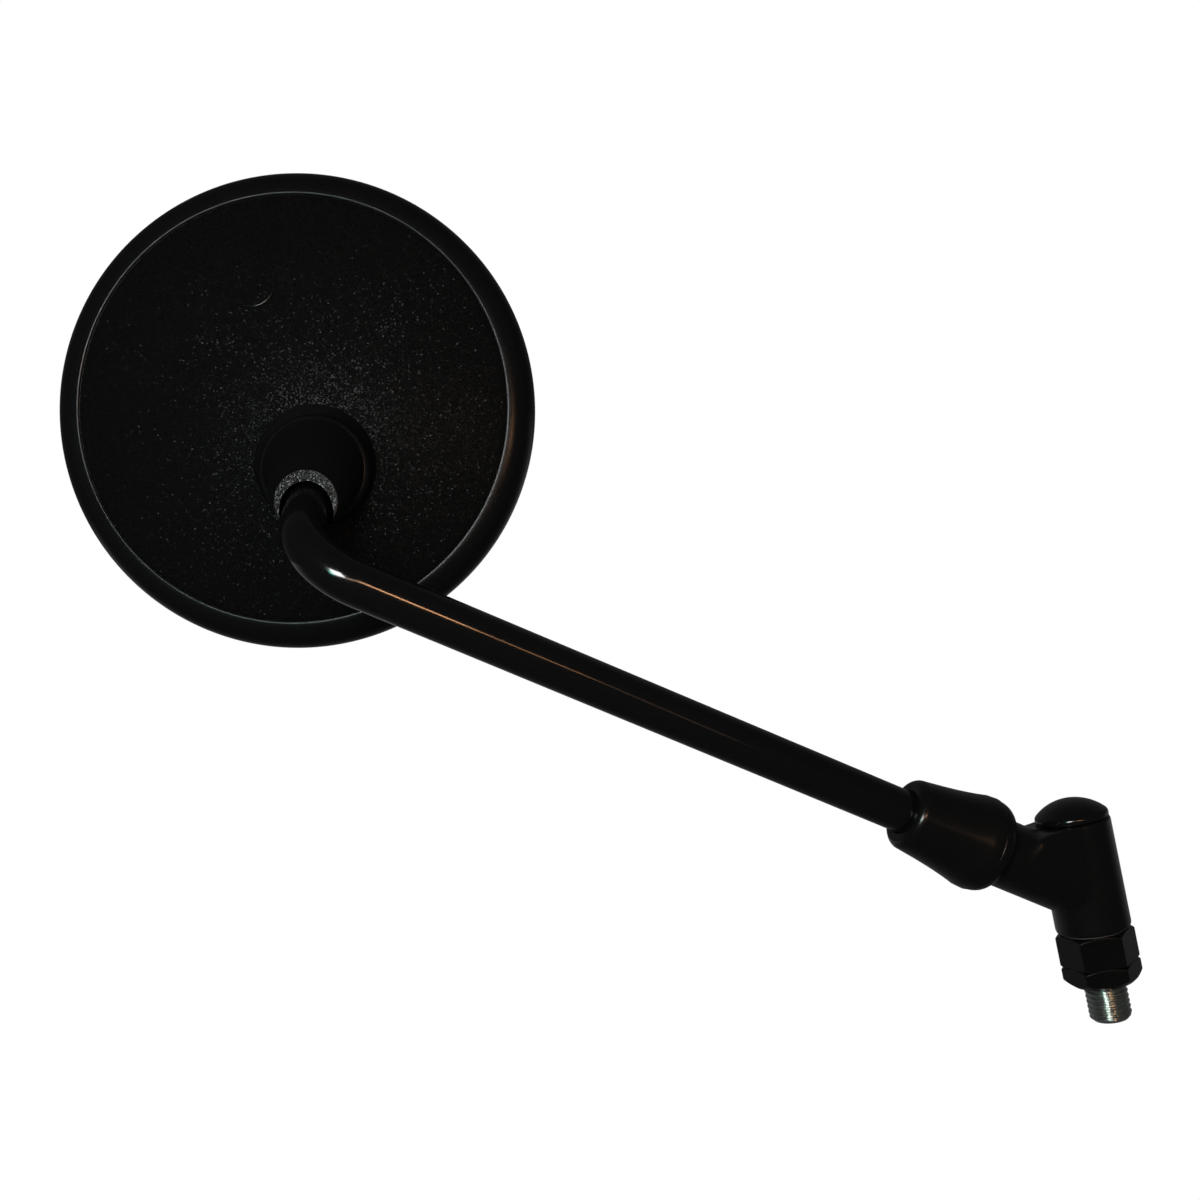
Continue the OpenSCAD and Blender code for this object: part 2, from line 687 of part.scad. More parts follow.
module dome_cap() {
    skirt_r = counter_r - seat;
    skirt_foot = barrel_top - skirt_len;
    color(black) difference() {
        rotate_extrude($fn = fine) polygon(concat(
            [[0, skirt_foot], [skirt_r - 0.3, skirt_foot], [skirt_r, skirt_foot + 0.6]],
            [[skirt_r, cap_foot], [cap_r - 0.3, cap_foot], [cap_r, cap_foot + 0.3]],
            arc([cap_r - cap_round, cap_shoulder - cap_round * sin(45)], cap_round, cap_round, 0, 40, 4),
            dome_points(cap_r - cap_round * (1 - cos(45)), cap_dome, cap_shoulder, 10)
        ));
        rotate_extrude($fn = fine) polygon(concat(
            [[0, skirt_foot - 1], [skirt_r - cap_t, skirt_foot - 1]],
            dome_points(skirt_r - cap_t, cap_dome - cap_t + 0.5, cap_shoulder - 0.5, 8)
        ));
    }
}

// Stud below, pivot shaft above, with a shoulder at the top of the hexagon.
module spindle() {
    core_r = stud_r - stud_relief;
    color(zinc) rotate_extrude($fn = fine) polygon([
        [0, -stud_len - stud_tip], [stud_r - stud_tip, -stud_len - stud_tip], [stud_r, -stud_len], [stud_r, 0],
        [core_r, 0], [core_r, hex_top], [shaft_r, hex_top], [shaft_r, shaft_top - 0.6],
        [shaft_r - 0.6, shaft_top], [0, shaft_top]
    ]);
}

module spindle_hex() {
    color(black) translate([0, 0, stud_nut_h]) rotate([0, 0, -hex_turn])
        hex_body(hex_af, hex_h, stud_r - stud_relief + thread_gap, corner_r(hex_af) - 0.3);
}

module stud_locknut() {
    color(black) rotate([0, 0, -hex_turn])
        hex_body(hex_af, stud_nut_h - seat, stud_r - stud_relief + thread_gap, stud_nut_foot_r);
}

head_housing();
mirror_glass();
glass_cushion();
ball_liner();
ball_cup();
pressure_washer();
cup_spring();
retainer_plate();
retainer_screw(0);  // retainer_screw_1
retainer_screw(1);  // retainer_screw_2
retainer_screw(2);  // retainer_screw_3
mirror_stem();
stem_locknut();
rubber_boot();
knuckle_body();
pivot_bush();
friction_washer();
dome_cap();
spring_washer(counter_z);  // spring_washer_lower
disc_spring(0);  // disc_spring_1
disc_spring(1);  // disc_spring_2
disc_spring(2);  // disc_spring_3
disc_spring(3);  // disc_spring_4
spring_washer(upper_z);  // spring_washer_upper
spindle_nut();
spindle();
spindle_hex();
stud_locknut();
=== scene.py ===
"""Looks of a round motorcycle mirror: black grained head, bent glossy stem, rubber boot, swivel knuckle and stud.

Sizes in the classes are in millimetres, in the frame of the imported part: +Z runs up the stud, -Y is the
housing's back and +Y the glass. A mesh gets metres when it is made.
"""
import logging
import math
from dataclasses import dataclass, field, replace
from enum import Enum
from typing import Optional, Sequence

import bpy
import numpy as np
from mathutils import Matrix


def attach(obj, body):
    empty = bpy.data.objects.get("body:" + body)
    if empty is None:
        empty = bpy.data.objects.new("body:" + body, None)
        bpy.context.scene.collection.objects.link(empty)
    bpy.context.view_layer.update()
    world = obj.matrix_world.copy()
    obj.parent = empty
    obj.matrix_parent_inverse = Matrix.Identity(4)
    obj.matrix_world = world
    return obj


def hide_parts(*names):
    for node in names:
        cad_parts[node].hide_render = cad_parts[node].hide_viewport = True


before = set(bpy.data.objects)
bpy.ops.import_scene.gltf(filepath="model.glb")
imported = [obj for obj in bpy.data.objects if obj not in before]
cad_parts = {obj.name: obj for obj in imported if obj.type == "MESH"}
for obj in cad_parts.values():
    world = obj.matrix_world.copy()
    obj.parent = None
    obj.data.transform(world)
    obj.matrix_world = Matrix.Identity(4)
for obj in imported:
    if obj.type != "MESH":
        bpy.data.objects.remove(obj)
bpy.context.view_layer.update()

MM = 0.001  # metres in a millimetre
TAU = 2.0 * math.pi
DUST = (0.18, 0.17, 0.16)  # colour of the dust's specks
WHITE = (1.0, 1.0, 1.0)
POLE = 0.02  # radius of a ring next to a pole, or its share of the full radius
BRUSH_STRETCH = 14.0  # how much finer brushed steel's noise is along Z
Colour = tuple[float, float, float]
Socket = bpy.types.NodeSocket
Pieces = list[bpy.types.Object]
log = logging.getLogger("mirror")


# Geometry helpers


def unit(vector: Sequence[float]) -> np.ndarray:
    """Vector of length one in the same direction."""
    array = np.asarray(vector, dtype=float)
    return array / np.linalg.norm(array)


@dataclass(frozen=True)
class Frame:
    """Local axes of a sub-assembly: an origin in millimetres and three unit vectors."""

    origin: np.ndarray
    across: np.ndarray
    up: np.ndarray
    along: np.ndarray

    def put(self, points: np.ndarray) -> np.ndarray:
        """Turns local points (..., 3) into the part's frame: origin plus the axes times the coordinates."""
        return self.origin + np.asarray(points) @ np.array([self.across, self.up, self.along])

    @classmethod
    def towards(cls, origin: Sequence[float], direction: Sequence[float]) -> "Frame":
        """Frame at a point with its third axis along a direction.

        Args:
            origin: Point in millimetres.
            direction: Direction, of any length.

        Returns:
            The frame; its first axis is square to +Y, or to +X where the direction is close to Y.
        """
        along = unit(direction)
        helper = np.array([0.0, 1.0, 0.0]) if abs(along[1]) < 0.8 else np.array([1.0, 0.0, 0.0])
        across = unit(np.cross(helper, along))
        return cls(np.asarray(origin, dtype=float), across, np.cross(along, across), along)


def columns(*values: np.ndarray) -> np.ndarray:
    """Points whose coordinates are the given arrays."""
    return np.stack(values, axis=-1)


def circle(count: int) -> np.ndarray:
    """Angles of a ring of count points."""
    return np.arange(count) * TAU / count


def around(count: int) -> np.ndarray:
    """Unit vectors (cos v, sin v) of a ring of count points."""
    return columns(np.cos(circle(count)), np.sin(circle(count)))


def arc(centre: tuple[float, float], a: float, b: float, start: float, end: float, count: int) -> np.ndarray:
    """Points of an elliptic arc: centre plus (a cos t, b sin t), with t in degrees from start to end."""
    t = np.radians(np.linspace(start, end, count))
    return columns(centre[0] + a * np.cos(t), centre[1] + b * np.sin(t))


def rounding(start: float, end: float, count: int) -> list[tuple[float, float]]:
    """Steps of a rounded edge: (1 - cos t, 1 - sin t), with t in degrees from start to end."""
    return [(1.0 - math.cos(t), 1.0 - math.sin(t)) for t in np.radians(np.linspace(start, end, count))]


def wound(radius: np.ndarray, level: np.ndarray, place: Frame) -> np.ndarray:
    """Rings of a grid: row k at the angle v is (radius cos v, radius sin v, level of k) in the frame.

    Args:
        radius: Radii (rows, points on a ring) in millimetres.
        level: Level of each row along the frame's third axis.
        place: Frame to wind about.

    Returns:
        Array (rows, points, 3).
    """
    v = circle(radius.shape[1])
    levels = np.broadcast_to(level[:, None], radius.shape)
    return place.put(columns(radius * np.cos(v), radius * np.sin(v), levels))


def turned(profile: np.ndarray, place: Frame, count: int) -> np.ndarray:
    """Rings of count points of a turned shape whose section's points are (radius, level)."""
    return wound(np.repeat(profile[:, :1], count, axis=1), profile[:, 1], place)


def smooth_step(x: np.ndarray, low: float, high: float) -> np.ndarray:
    """Soft ramp 3t^2 - 2t^3 that is 0 below low and 1 above high."""
    t = np.clip((x - low) / (high - low), 0.0, 1.0)
    return t * t * (3.0 - 2.0 * t)


@dataclass
class Surface:
    """A closed surface given by rings of points: quads between rings, a fan to a pole at an open end.

    Attributes:
        rings: Array (rings, points, 3) in millimetres; each ring closes on itself.
        wrap: True joins the last ring to the first, as in a thick tube.
        finish_rows: Material index for each row of quads.
    """

    rings: np.ndarray
    wrap: bool = False
    finish_rows: Optional[np.ndarray] = None

    def faces(self) -> tuple[np.ndarray, list, list]:
        """Quads and fans, turned to face outwards by the sign of the enclosed volume.

        Returns:
            Vertices, faces, and the material index of each face.
        """
        n, m, _ = self.rings.shape
        verts = self.rings.reshape(-1, 3)
        i = np.arange(n if self.wrap else n - 1)[:, None]
        j = np.arange(m)[None, :]
        nxt, k = (i + 1) % n, (j + 1) % m
        quads = columns(i * m + j, i * m + k, nxt * m + k, nxt * m + j).reshape(-1, 4)
        rows = np.zeros(len(i), int) if self.finish_rows is None else np.asarray(self.finish_rows)
        marks = np.repeat(rows, m)
        fans, fan_marks = np.zeros((0, 3), int), np.zeros(0, int)
        if not self.wrap:
            verts = np.concatenate([verts, self.rings[[0, -1]].mean(axis=1)])
            ring, base = np.arange(m), (n - 1) * m
            fore = columns(np.full(m, n * m), (ring + 1) % m, ring)
            aft = columns(np.full(m, n * m + 1), base + ring, base + (ring + 1) % m)
            fans = np.concatenate([fore, aft])
            fan_marks = np.concatenate([np.full(m, rows[0]), np.full(m, rows[-1])])
        triangles = np.concatenate([quads[:, [0, 1, 2]], quads[:, [0, 2, 3]], fans])
        a, b, c = (verts[triangles[:, q]] for q in range(3))
        if np.einsum("ij,ij->i", a, np.cross(b, c)).sum() < 0.0:
            quads, fans = quads[:, ::-1], fans[:, ::-1]
        return verts, quads.tolist() + fans.tolist(), np.concatenate([marks, fan_marks]).tolist()


def make_piece(name: str, surfaces: Sequence[Surface], sharp_deg: float = 40.0) -> bpy.types.Object:
    """Makes one mesh object in metres from closed surfaces.

    Args:
        name: Name of the piece.
        surfaces: Closed surfaces that the piece consists of.
        sharp_deg: Angle between faces above which an edge stays sharp.

    Returns:
        The object, linked to the scene, at the origin.
    """
    verts, faces, marks, offset = [], [], [], 0
    for surface in surfaces:
        v, f, m = surface.faces()
        verts.append(v)
        faces += [[q + offset for q in face] for face in f]
        marks += m
        offset += len(v)
    mesh = bpy.data.meshes.new(name)
    mesh.from_pydata((np.concatenate(verts) * MM).tolist(), [], faces)
    mesh.polygons.foreach_set("material_index", marks)
    mesh.update()
    mesh.shade_smooth()
    mesh.set_sharp_from_angle(angle=math.radians(sharp_deg))
    obj = bpy.data.objects.new(name, mesh)
    bpy.context.scene.collection.objects.link(obj)
    return obj


def applied(obj: bpy.types.Object) -> bpy.types.Object:
    """Replaces a piece's mesh by the result of its modifiers and removes them.

    Args:
        obj: Piece with modifiers.

    Returns:
        The same object.
    """
    graph = bpy.context.evaluated_depsgraph_get()
    graph.update()
    mesh = bpy.data.meshes.new_from_object(obj.evaluated_get(graph), depsgraph=graph)
    obj.modifiers.clear()
    obj.data = mesh
    mesh.name = obj.name
    return obj


def cut(obj: bpy.types.Object, cutters: Sequence[Surface], sharp_deg: float = 30.0) -> bpy.types.Object:
    """Takes closed surfaces out of obj with the exact boolean, one after the other.

    Args:
        obj: Piece to cut.
        cutters: Closed surfaces to remove.
        sharp_deg: Angle above which an edge stays sharp afterwards.

    Returns:
        The same object with the holes in its mesh.
    """
    for number, surface in enumerate(cutters):
        tool = make_piece(f"{obj.name}_cutter_{number}", [surface])
        for slot in obj.data.materials:
            tool.data.materials.append(slot)
        modifier = obj.modifiers.new("hole", "BOOLEAN")
        modifier.operation, modifier.solver, modifier.object = "DIFFERENCE", "EXACT", tool
        applied(obj)
        bpy.data.objects.remove(tool, do_unlink=True)
    obj.data.set_sharp_from_angle(angle=math.radians(sharp_deg))
    return obj


# Node groups and finishes


class Nodes:
    """Short calls that build one node tree."""

    def __init__(self, tree: bpy.types.NodeTree) -> None:
        """Keeps the tree to build in."""
        self.tree = tree

    def node(self, kind: str, given: Optional[dict[object, object]] = None, **properties: object) -> bpy.types.Node:
        """Adds a node.

        Args:
            kind: Type of the node, without ShaderNode.
            given: Value or source socket of each input, by its name or number.
            properties: Properties of the node, set before its inputs.

        Returns:
            The new node.
        """
        made = self.tree.nodes.new("ShaderNode" + kind)
        for key, value in properties.items():
            setattr(made, key, value)
        for key, value in (given or {}).items():
            if isinstance(value, bpy.types.NodeSocket):
                self.tree.links.new(value, made.inputs[key])
            else:
                made.inputs[key].default_value = value
        return made

    def math(self, operation: str, a: object, b: object = 0.5) -> Socket:
        """One arithmetic step on sockets or numbers."""
        return self.node("Math", {0: a, 1: b}, operation=operation).outputs[0]

    def vector(self, operation: str, given: dict[object, object]) -> Socket:
        """One step of vector arithmetic."""
        return self.node("VectorMath", given, operation=operation).outputs["Vector"]

    def ramp(self, value: Socket, start: Sequence[object], end: Sequence[float] = (0.0, 1.0),
             kind: str = "SMOOTHSTEP") -> Socket:
        """Maps a value from one range to another and holds it there: t, or 3t^2 - 2t^3 for SMOOTHSTEP."""
        return self.node("MapRange", {"Value": value, "From Min": start[0], "From Max": start[1], "To Min": end[0],
                                      "To Max": end[1]}, interpolation_type=kind).outputs["Result"]

    def place(self) -> Socket:
        """The object's own coordinates, in metres."""
        return self.node("TexCoord").outputs["Object"]

    def noise(self, at: Socket, scale: object, detail: float = 2.0, rough: float = 0.5) -> Socket:
        """Noise at a place, scale in cycles a metre."""
        return self.node("TexNoise", {"Vector": at, "Scale": scale, "Detail": detail,
                                      "Roughness": rough}).outputs["Fac"]

    def mix(self, mask: Socket, a: object, b: object) -> Socket:
        """Colour a where the mask is 0 and b where it is 1."""
        a, b = (c if isinstance(c, bpy.types.NodeSocket) else (*c, 1.0) for c in (a, b))
        return self.node("Mix", {"Factor": mask, "A": a, "B": b}, data_type="RGBA").outputs["Result"]

    def switch(self, share: Socket, off: bpy.types.Node, on: bpy.types.Node) -> bpy.types.Node:
        """Shader off where the share is 0 and on where it is 1."""
        return self.node("MixShader", {0: share, 1: off.outputs[0], 2: on.outputs[0]})


class Group(Nodes):
    """Shader node group with named float inputs."""

    def __init__(self, name: str, inputs: dict[str, float], outputs: dict[str, str]) -> None:
        """Makes the group.

        Args:
            name: Name of the group.
            inputs: Default of each input.
            outputs: Socket type of each output, without NodeSocket.
        """
        super().__init__(bpy.data.node_groups.new(name, "ShaderNodeTree"))
        for label, value in inputs.items():
            socket = self.tree.interface.new_socket(label, in_out="INPUT", socket_type="NodeSocketFloat")
            socket.default_value = value
        for label, kind in outputs.items():
            self.tree.interface.new_socket(label, in_out="OUTPUT", socket_type="NodeSocket" + kind)
        self.into, self.out = (self.tree.nodes.new("NodeGroup" + side) for side in ("Input", "Output"))

    def given(self, label: str) -> Socket:
        """The group's own input."""
        return self.into.outputs[label]

    def put_out(self, **results: Socket) -> bpy.types.ShaderNodeTree:
        """Links the results to the group's outputs.

        Args:
            results: Socket for each output, by the output's name.

        Returns:
            The finished group.
        """
        for label, socket in results.items():
            self.tree.links.new(socket, self.out.inputs[label])
        return self.tree


def grain_group() -> bpy.types.ShaderNodeTree:
    """Moulded grain of small cells.

    Height is the distance to the nearest cell's middle, softened, plus a share of fine noise and a random step a
    cell. Sparkle marks about half of the cells by chance. Facet is the surface's normal leaned by a random
    vector of random length a cell, so that single cells catch the light.

    Returns:
        The group, with the outputs Height, Sparkle and Facet.
    """
    g = Group("moulded_grain", {"Cells a metre": 2200.0, "Noise share": 0.4, "Lean": 0.5},
              {"Height": "Float", "Sparkle": "Float", "Facet": "Vector"})
    at = {"Vector": g.place(), "Scale": g.given("Cells a metre")}
    softened = g.node("TexVoronoi", {**at, "Smoothness": 0.35}, feature="SMOOTH_F1").outputs["Distance"]
    cell = g.node("TexVoronoi", at, feature="F1").outputs
    step = g.math("MULTIPLY", g.node("SeparateColor", {"Color": cell["Color"]}).outputs["Green"], 0.35)
    lift = g.math("MULTIPLY", g.noise(at["Vector"], 5200.0, 2.0, 0.55), g.given("Noise share"))
    height = g.math("ADD", g.math("ADD", g.math("SUBTRACT", 1.0, softened), lift), step)
    chance = g.node("TexWhiteNoise", {"Vector": cell["Position"]}, noise_dimensions="3D").outputs["Value"]
    share = g.math("FRACT", g.math("MULTIPLY", chance, 7.13))
    random = g.vector("SUBTRACT", {0: cell["Color"], 1: (0.5, 0.5, 0.5)})
    lean = g.vector("SCALE", {0: random, "Scale": g.math("MULTIPLY", share, g.given("Lean"))})
    facet = g.vector("ADD", {0: lean, 1: g.node("NewGeometry").outputs["Normal"]})
    return g.put_out(Height=height, Sparkle=g.ramp(chance, (0.45, 0.6)), Facet=g.vector("NORMALIZE", {0: facet}))


def edge_group() -> bpy.types.ShaderNodeTree:
    """Edge wear and painted edge glint: a mask of convex edges from the surface's pointiness, broken up by noise.

    Returns:
        The group, with the output Mask.
    """
    g = Group("edge_wear_and_glint", {"From": 0.52, "To": 0.6, "Patches a metre": 900.0}, {"Mask": "Float"})
    edge = g.ramp(g.node("NewGeometry").outputs["Pointiness"], (g.given("From"), g.given("To")))
    broken = g.ramp(g.noise(g.place(), g.given("Patches a metre")), (0.38, 0.6))
    return g.put_out(Mask=g.math("MULTIPLY", edge, broken))


def dust_group() -> bpy.types.ShaderNodeTree:
    """Fine dust: sparse specks from a tight noise, more of them where a wide noise is high.

    Returns:
        The group, with the outputs Mask for the specks and Smear for the wide noise.
    """
    g = Group("fine_dust", {"Amount": 0.3}, {"Mask": "Float", "Smear": "Float"})
    specks = g.ramp(g.noise(g.place(), 3000.0, 2.0, 0.55), (0.66, 0.78))
    wide = g.noise(g.place(), 35.0, 3.0, 0.55)
    mask = g.math("MULTIPLY", g.math("MULTIPLY", specks, wide), g.given("Amount"))
    return g.put_out(Mask=mask, Smear=g.ramp(wide, (0.3, 0.75)))


class Texture(Enum):
    """Small relief of a finish."""

    SMOOTH = "smooth"
    GRAIN = "grain"
    ORANGE_PEEL = "orange peel"
    BRUSHED = "brushed"


@dataclass(frozen=True)
class Finish:
    """A surface finish: base colour in linear light, gloss, relief, edge wear with painted edge glint, and dust."""

    name: str
    colour: Colour
    roughness: float
    metallic: float = 0.0
    specular: float = 0.5
    texture: Texture = Texture.SMOOTH
    relief_mm: float = 0.02
    cells: float = 2200.0
    sparkle: Colour = (0.05, 0.05, 0.05)
    lean: float = 0.5
    glint_roughness: float = 0.35
    wear_and_glint: Colour = (0.05, 0.05, 0.05)
    wear_and_glint_amount: float = 0.0
    rough_spread: float = 0.06
    dust: float = 0.15

    def build(self, groups: dict[str, bpy.types.ShaderNodeTree]) -> bpy.types.Material:
        """Makes the material: constants on the shader's sockets, masks and relief from the node groups.

        Args:
            groups: Node groups by name.

        Returns:
            The new material.
        """
        material = bpy.data.materials.new(self.name)
        material.use_nodes = True
        n = Nodes(material.node_tree)
        dust = n.node("Group", {"Amount": self.dust}, node_tree=groups["fine_dust"]).outputs
        colour = n.mix(dust["Mask"], self.colour, DUST)
        # Convex edges are lightened: worn paint, and on the black steel also a painted glint along the edges.
        if self.wear_and_glint_amount > 0.0:
            edge = n.node("Group", node_tree=groups["edge_wear_and_glint"]).outputs["Mask"]
            colour = n.mix(n.math("MULTIPLY", edge, self.wear_and_glint_amount), colour, self.wear_and_glint)
        sockets = {"Metallic": self.metallic, "Specular IOR Level": self.specular}
        if self.texture is Texture.GRAIN:
            grain = n.node("Group", {"Cells a metre": self.cells, "Lean": self.lean},
                           node_tree=groups["moulded_grain"]).outputs
            colour = n.mix(grain["Sparkle"], colour, self.sparkle)
            rough = n.ramp(grain["Sparkle"], (0.0, 1.0), (self.roughness, self.glint_roughness), "LINEAR")
            sockets["Normal"] = self.bump(n, {"Height": grain["Height"], "Normal": grain["Facet"]})
        else:
            spread = (max(0.02, self.roughness - self.rough_spread), self.roughness + self.rough_spread)
            rough = n.ramp(dust["Smear"], (0.0, 1.0), spread, "LINEAR")
        if self.texture in (Texture.ORANGE_PEEL, Texture.BRUSHED):
            at = n.place()
            if self.texture is Texture.BRUSHED:
                at = n.node("Mapping", {"Vector": at, "Scale": (1.0, 1.0, BRUSH_STRETCH)}).outputs["Vector"]
            sockets["Normal"] = self.bump(n, {"Height": n.noise(at, self.cells, 3.0)})
        for label, value in {**sockets, "Roughness": rough, "Base Color": colour}.items():
            target = material.node_tree.nodes["Principled BSDF"].inputs[label]
            if isinstance(value, bpy.types.NodeSocket):
                n.tree.links.new(value, target)
            else:
                target.default_value = value
        return material

    def bump(self, nodes: Nodes, given: dict[object, object]) -> Socket:
        """Normal of the relief whose height is given."""
        return nodes.node("Bump", {"Distance": self.relief_mm * MM, **given}).outputs["Normal"]


FINISHES = {
    "rim": Finish("rim_gloss_black", (0.0034, 0.0034, 0.0036), 0.24, specular=0.13, dust=0.04, rough_spread=0.03),
    # Bead: lighter grey than the rim, a painted highlight line along the rim's inner edge.
    "bead": Finish("rim_bead_painted_highlight", (0.02, 0.02, 0.022), 0.2, specular=0.22, dust=0.05),
    "dome": Finish("dome_grained_black", (0.0026, 0.0027, 0.0026), 0.88, texture=Texture.GRAIN, relief_mm=0.009,
                   specular=0.042, cells=4000.0, sparkle=(0.0027, 0.0027, 0.0027), lean=0.85, glint_roughness=0.2,
                   dust=0.03),
    "patch_edge": Finish("patch_edge_black", (0.004, 0.004, 0.004), 0.22, dust=0.05),
    "boss": Finish("boss_smooth_black", (0.0018, 0.0018, 0.0019), 0.44, specular=0.3, dust=0.06,
                   texture=Texture.ORANGE_PEEL, relief_mm=0.004, cells=1500.0),
    # End face: its sparkle cells are painted lighter than the face, painted glints on top of their lower roughness.
    "face": Finish("face_grained_bright", (0.006, 0.006, 0.0063), 0.6, texture=Texture.GRAIN, relief_mm=0.03,
                   cells=4200.0, sparkle=(0.009, 0.009, 0.0094), specular=0.3, lean=1.4, glint_roughness=0.2, dust=0.1),
    "paint": Finish("stem_gloss_paint", (0.0028, 0.0028, 0.003), 0.115, dust=0.05, rough_spread=0.015),
    "rubber": Finish("boot_black_rubber", (0.003, 0.003, 0.003), 0.25, specular=0.35,
                     texture=Texture.ORANGE_PEEL, relief_mm=0.004, cells=1200.0, dust=0.1),
    "cast": Finish("knuckle_satin_paint", (0.0026, 0.0026, 0.0026), 0.27, texture=Texture.ORANGE_PEEL,
                   relief_mm=0.005, cells=1500.0, wear_and_glint=(0.015, 0.015, 0.016), wear_and_glint_amount=0.4),
    "cap": Finish("cap_black_plastic", (0.003, 0.003, 0.003), 0.17, texture=Texture.ORANGE_PEEL, relief_mm=0.005,
                  cells=1300.0),
    # Black steel: its lighter edges are partly wear and partly a painted glint along the hexagons' edges.
    "black_steel": Finish("black_steel", (0.002, 0.0023, 0.0022), 0.24, texture=Texture.ORANGE_PEEL,
                          relief_mm=0.006, cells=1700.0, specular=0.25, wear_and_glint=(0.025, 0.026, 0.029), wear_and_glint_amount=0.6),
    "zinc": Finish("bright_zinc", (0.5, 0.54, 0.51), 0.18, metallic=0.97, texture=Texture.ORANGE_PEEL,
                   relief_mm=0.006, cells=1800.0, dust=0.1),
    "spring": Finish("spring_steel", (0.42, 0.42, 0.44), 0.28, metallic=1.0, texture=Texture.BRUSHED,
                     relief_mm=0.004, cells=1500.0),
    "bronze": Finish("bush_bronze", (0.45, 0.28, 0.12), 0.38, metallic=1.0, texture=Texture.ORANGE_PEEL,
                     relief_mm=0.006, cells=2500.0),
    "nylon": Finish("black_nylon", (0.006, 0.006, 0.006), 0.45, texture=Texture.ORANGE_PEEL, relief_mm=0.004,
                    cells=1500.0),
    "foam": Finish("grey_foam", (0.05, 0.05, 0.052), 0.85, texture=Texture.GRAIN, relief_mm=0.08, cells=1600.0,
                   lean=0.3, glint_roughness=0.8),
    "fibre": Finish("friction_fibre", (0.045, 0.04, 0.035), 0.7, texture=Texture.GRAIN, relief_mm=0.03,
                    cells=2400.0, lean=0.3, glint_roughness=0.6),
    "silver": Finish("silvered_glass", (0.86, 0.88, 0.88), 0.03, metallic=1.0, dust=0.02, rough_spread=0.008),
    "ground_edge": Finish("ground_glass_edge", (0.1, 0.16, 0.14), 0.45, dust=0.1),
}


@dataclass
class Finishes:
    """The materials, each built once."""

    made: dict[str, bpy.types.Material] = field(default_factory=dict)

    def build(self) -> "Finishes":
        """Builds the node groups and every finish.

        Returns:
            The same object, filled.
        """
        groups = {"moulded_grain": grain_group(), "edge_wear_and_glint": edge_group(), "fine_dust": dust_group()}
        self.made = {key: finish.build(groups) for key, finish in FINISHES.items()}
        return self

    def dress(self, obj: bpy.types.Object, *keys: str) -> None:
        """Gives a piece its finishes.

        Args:
            obj: Piece or CAD node; a CAD node's own slots all get the one finish.
            keys: Names of the finishes, in the order of the piece's material indices.
        """
        if len(keys) == 1 and len(obj.data.materials):
            for slot in obj.material_slots:
                slot.material = self.made[keys[0]]
            return
        for key in keys:
            obj.data.materials.append(self.made[key])


# Sub-assemblies


@dataclass
class Layout:
    """Shared places of the mirror, worked out as in the part's source."""

    leg_len: float = 32.36
    leg_back: float = 58.62
    leg_side: float = 2.1
    head_roll: float = 6.5
    ball_x: float = 1.0
    ball_y: float = -15.8
    ball_drop: float = 21.4
    stem_len: float = 199.0
    stem_rise: float = 33.7
    stem_turn: float = 15.2
    arm_z: float = 22.6
    bend_r: float = 15.0

    @property
    def head(self) -> Frame:
        """Head frame: across, up, and out towards -Y.

        Returns:
            The frame; its centre lies off the ball by ball_x, ball_drop and ball_y.
        """
        a = math.radians(self.head_roll)
        across, up = np.array([math.cos(a), 0.0, math.sin(a)]), np.array([-math.sin(a), 0.0, math.cos(a)])
        out = np.array([0.0, -1.0, 0.0])
        centre = self.ball - self.ball_x * across + self.ball_drop * up + self.ball_y * out
        return Frame(centre, across, up, out)

    @property
    def ball(self) -> np.ndarray:
        """Ball centre in the part's frame."""
        return self.corner + self.leg_len * self.leg

    @property
    def arm_dir(self) -> np.ndarray:
        """Unit vector of the arm and the stem's straight."""
        rise, turn = math.radians(self.stem_rise), math.radians(self.stem_turn)
        return np.array([-math.cos(rise) * math.cos(turn), -math.cos(rise) * math.sin(turn), math.sin(rise)])

    @property
    def arm_o(self) -> np.ndarray:
        """Point where the arm's axis meets the barrel's axis."""
        return np.array([0.0, 0.0, self.arm_z])

    @property
    def corner(self) -> np.ndarray:
        """Corner of the stem's centreline at the bend."""
        return self.arm_o + self.stem_len * self.arm_dir

    @property
    def leg(self) -> np.ndarray:
        """Unit vector from the corner to the ball."""
        back, side = math.radians(self.leg_back), math.radians(self.leg_side)
        return np.array([math.sin(side), math.cos(side) * math.sin(back), math.cos(side) * math.cos(back)])

    @property
    def arm(self) -> Frame:
        """Frame along the arm."""
        return Frame.towards(self.arm_o, self.arm_dir)

    @property
    def barrel(self) -> Frame:
        """Frame of the stud and the barrel: the part's own."""
        return Frame(np.zeros(3), *np.eye(3))


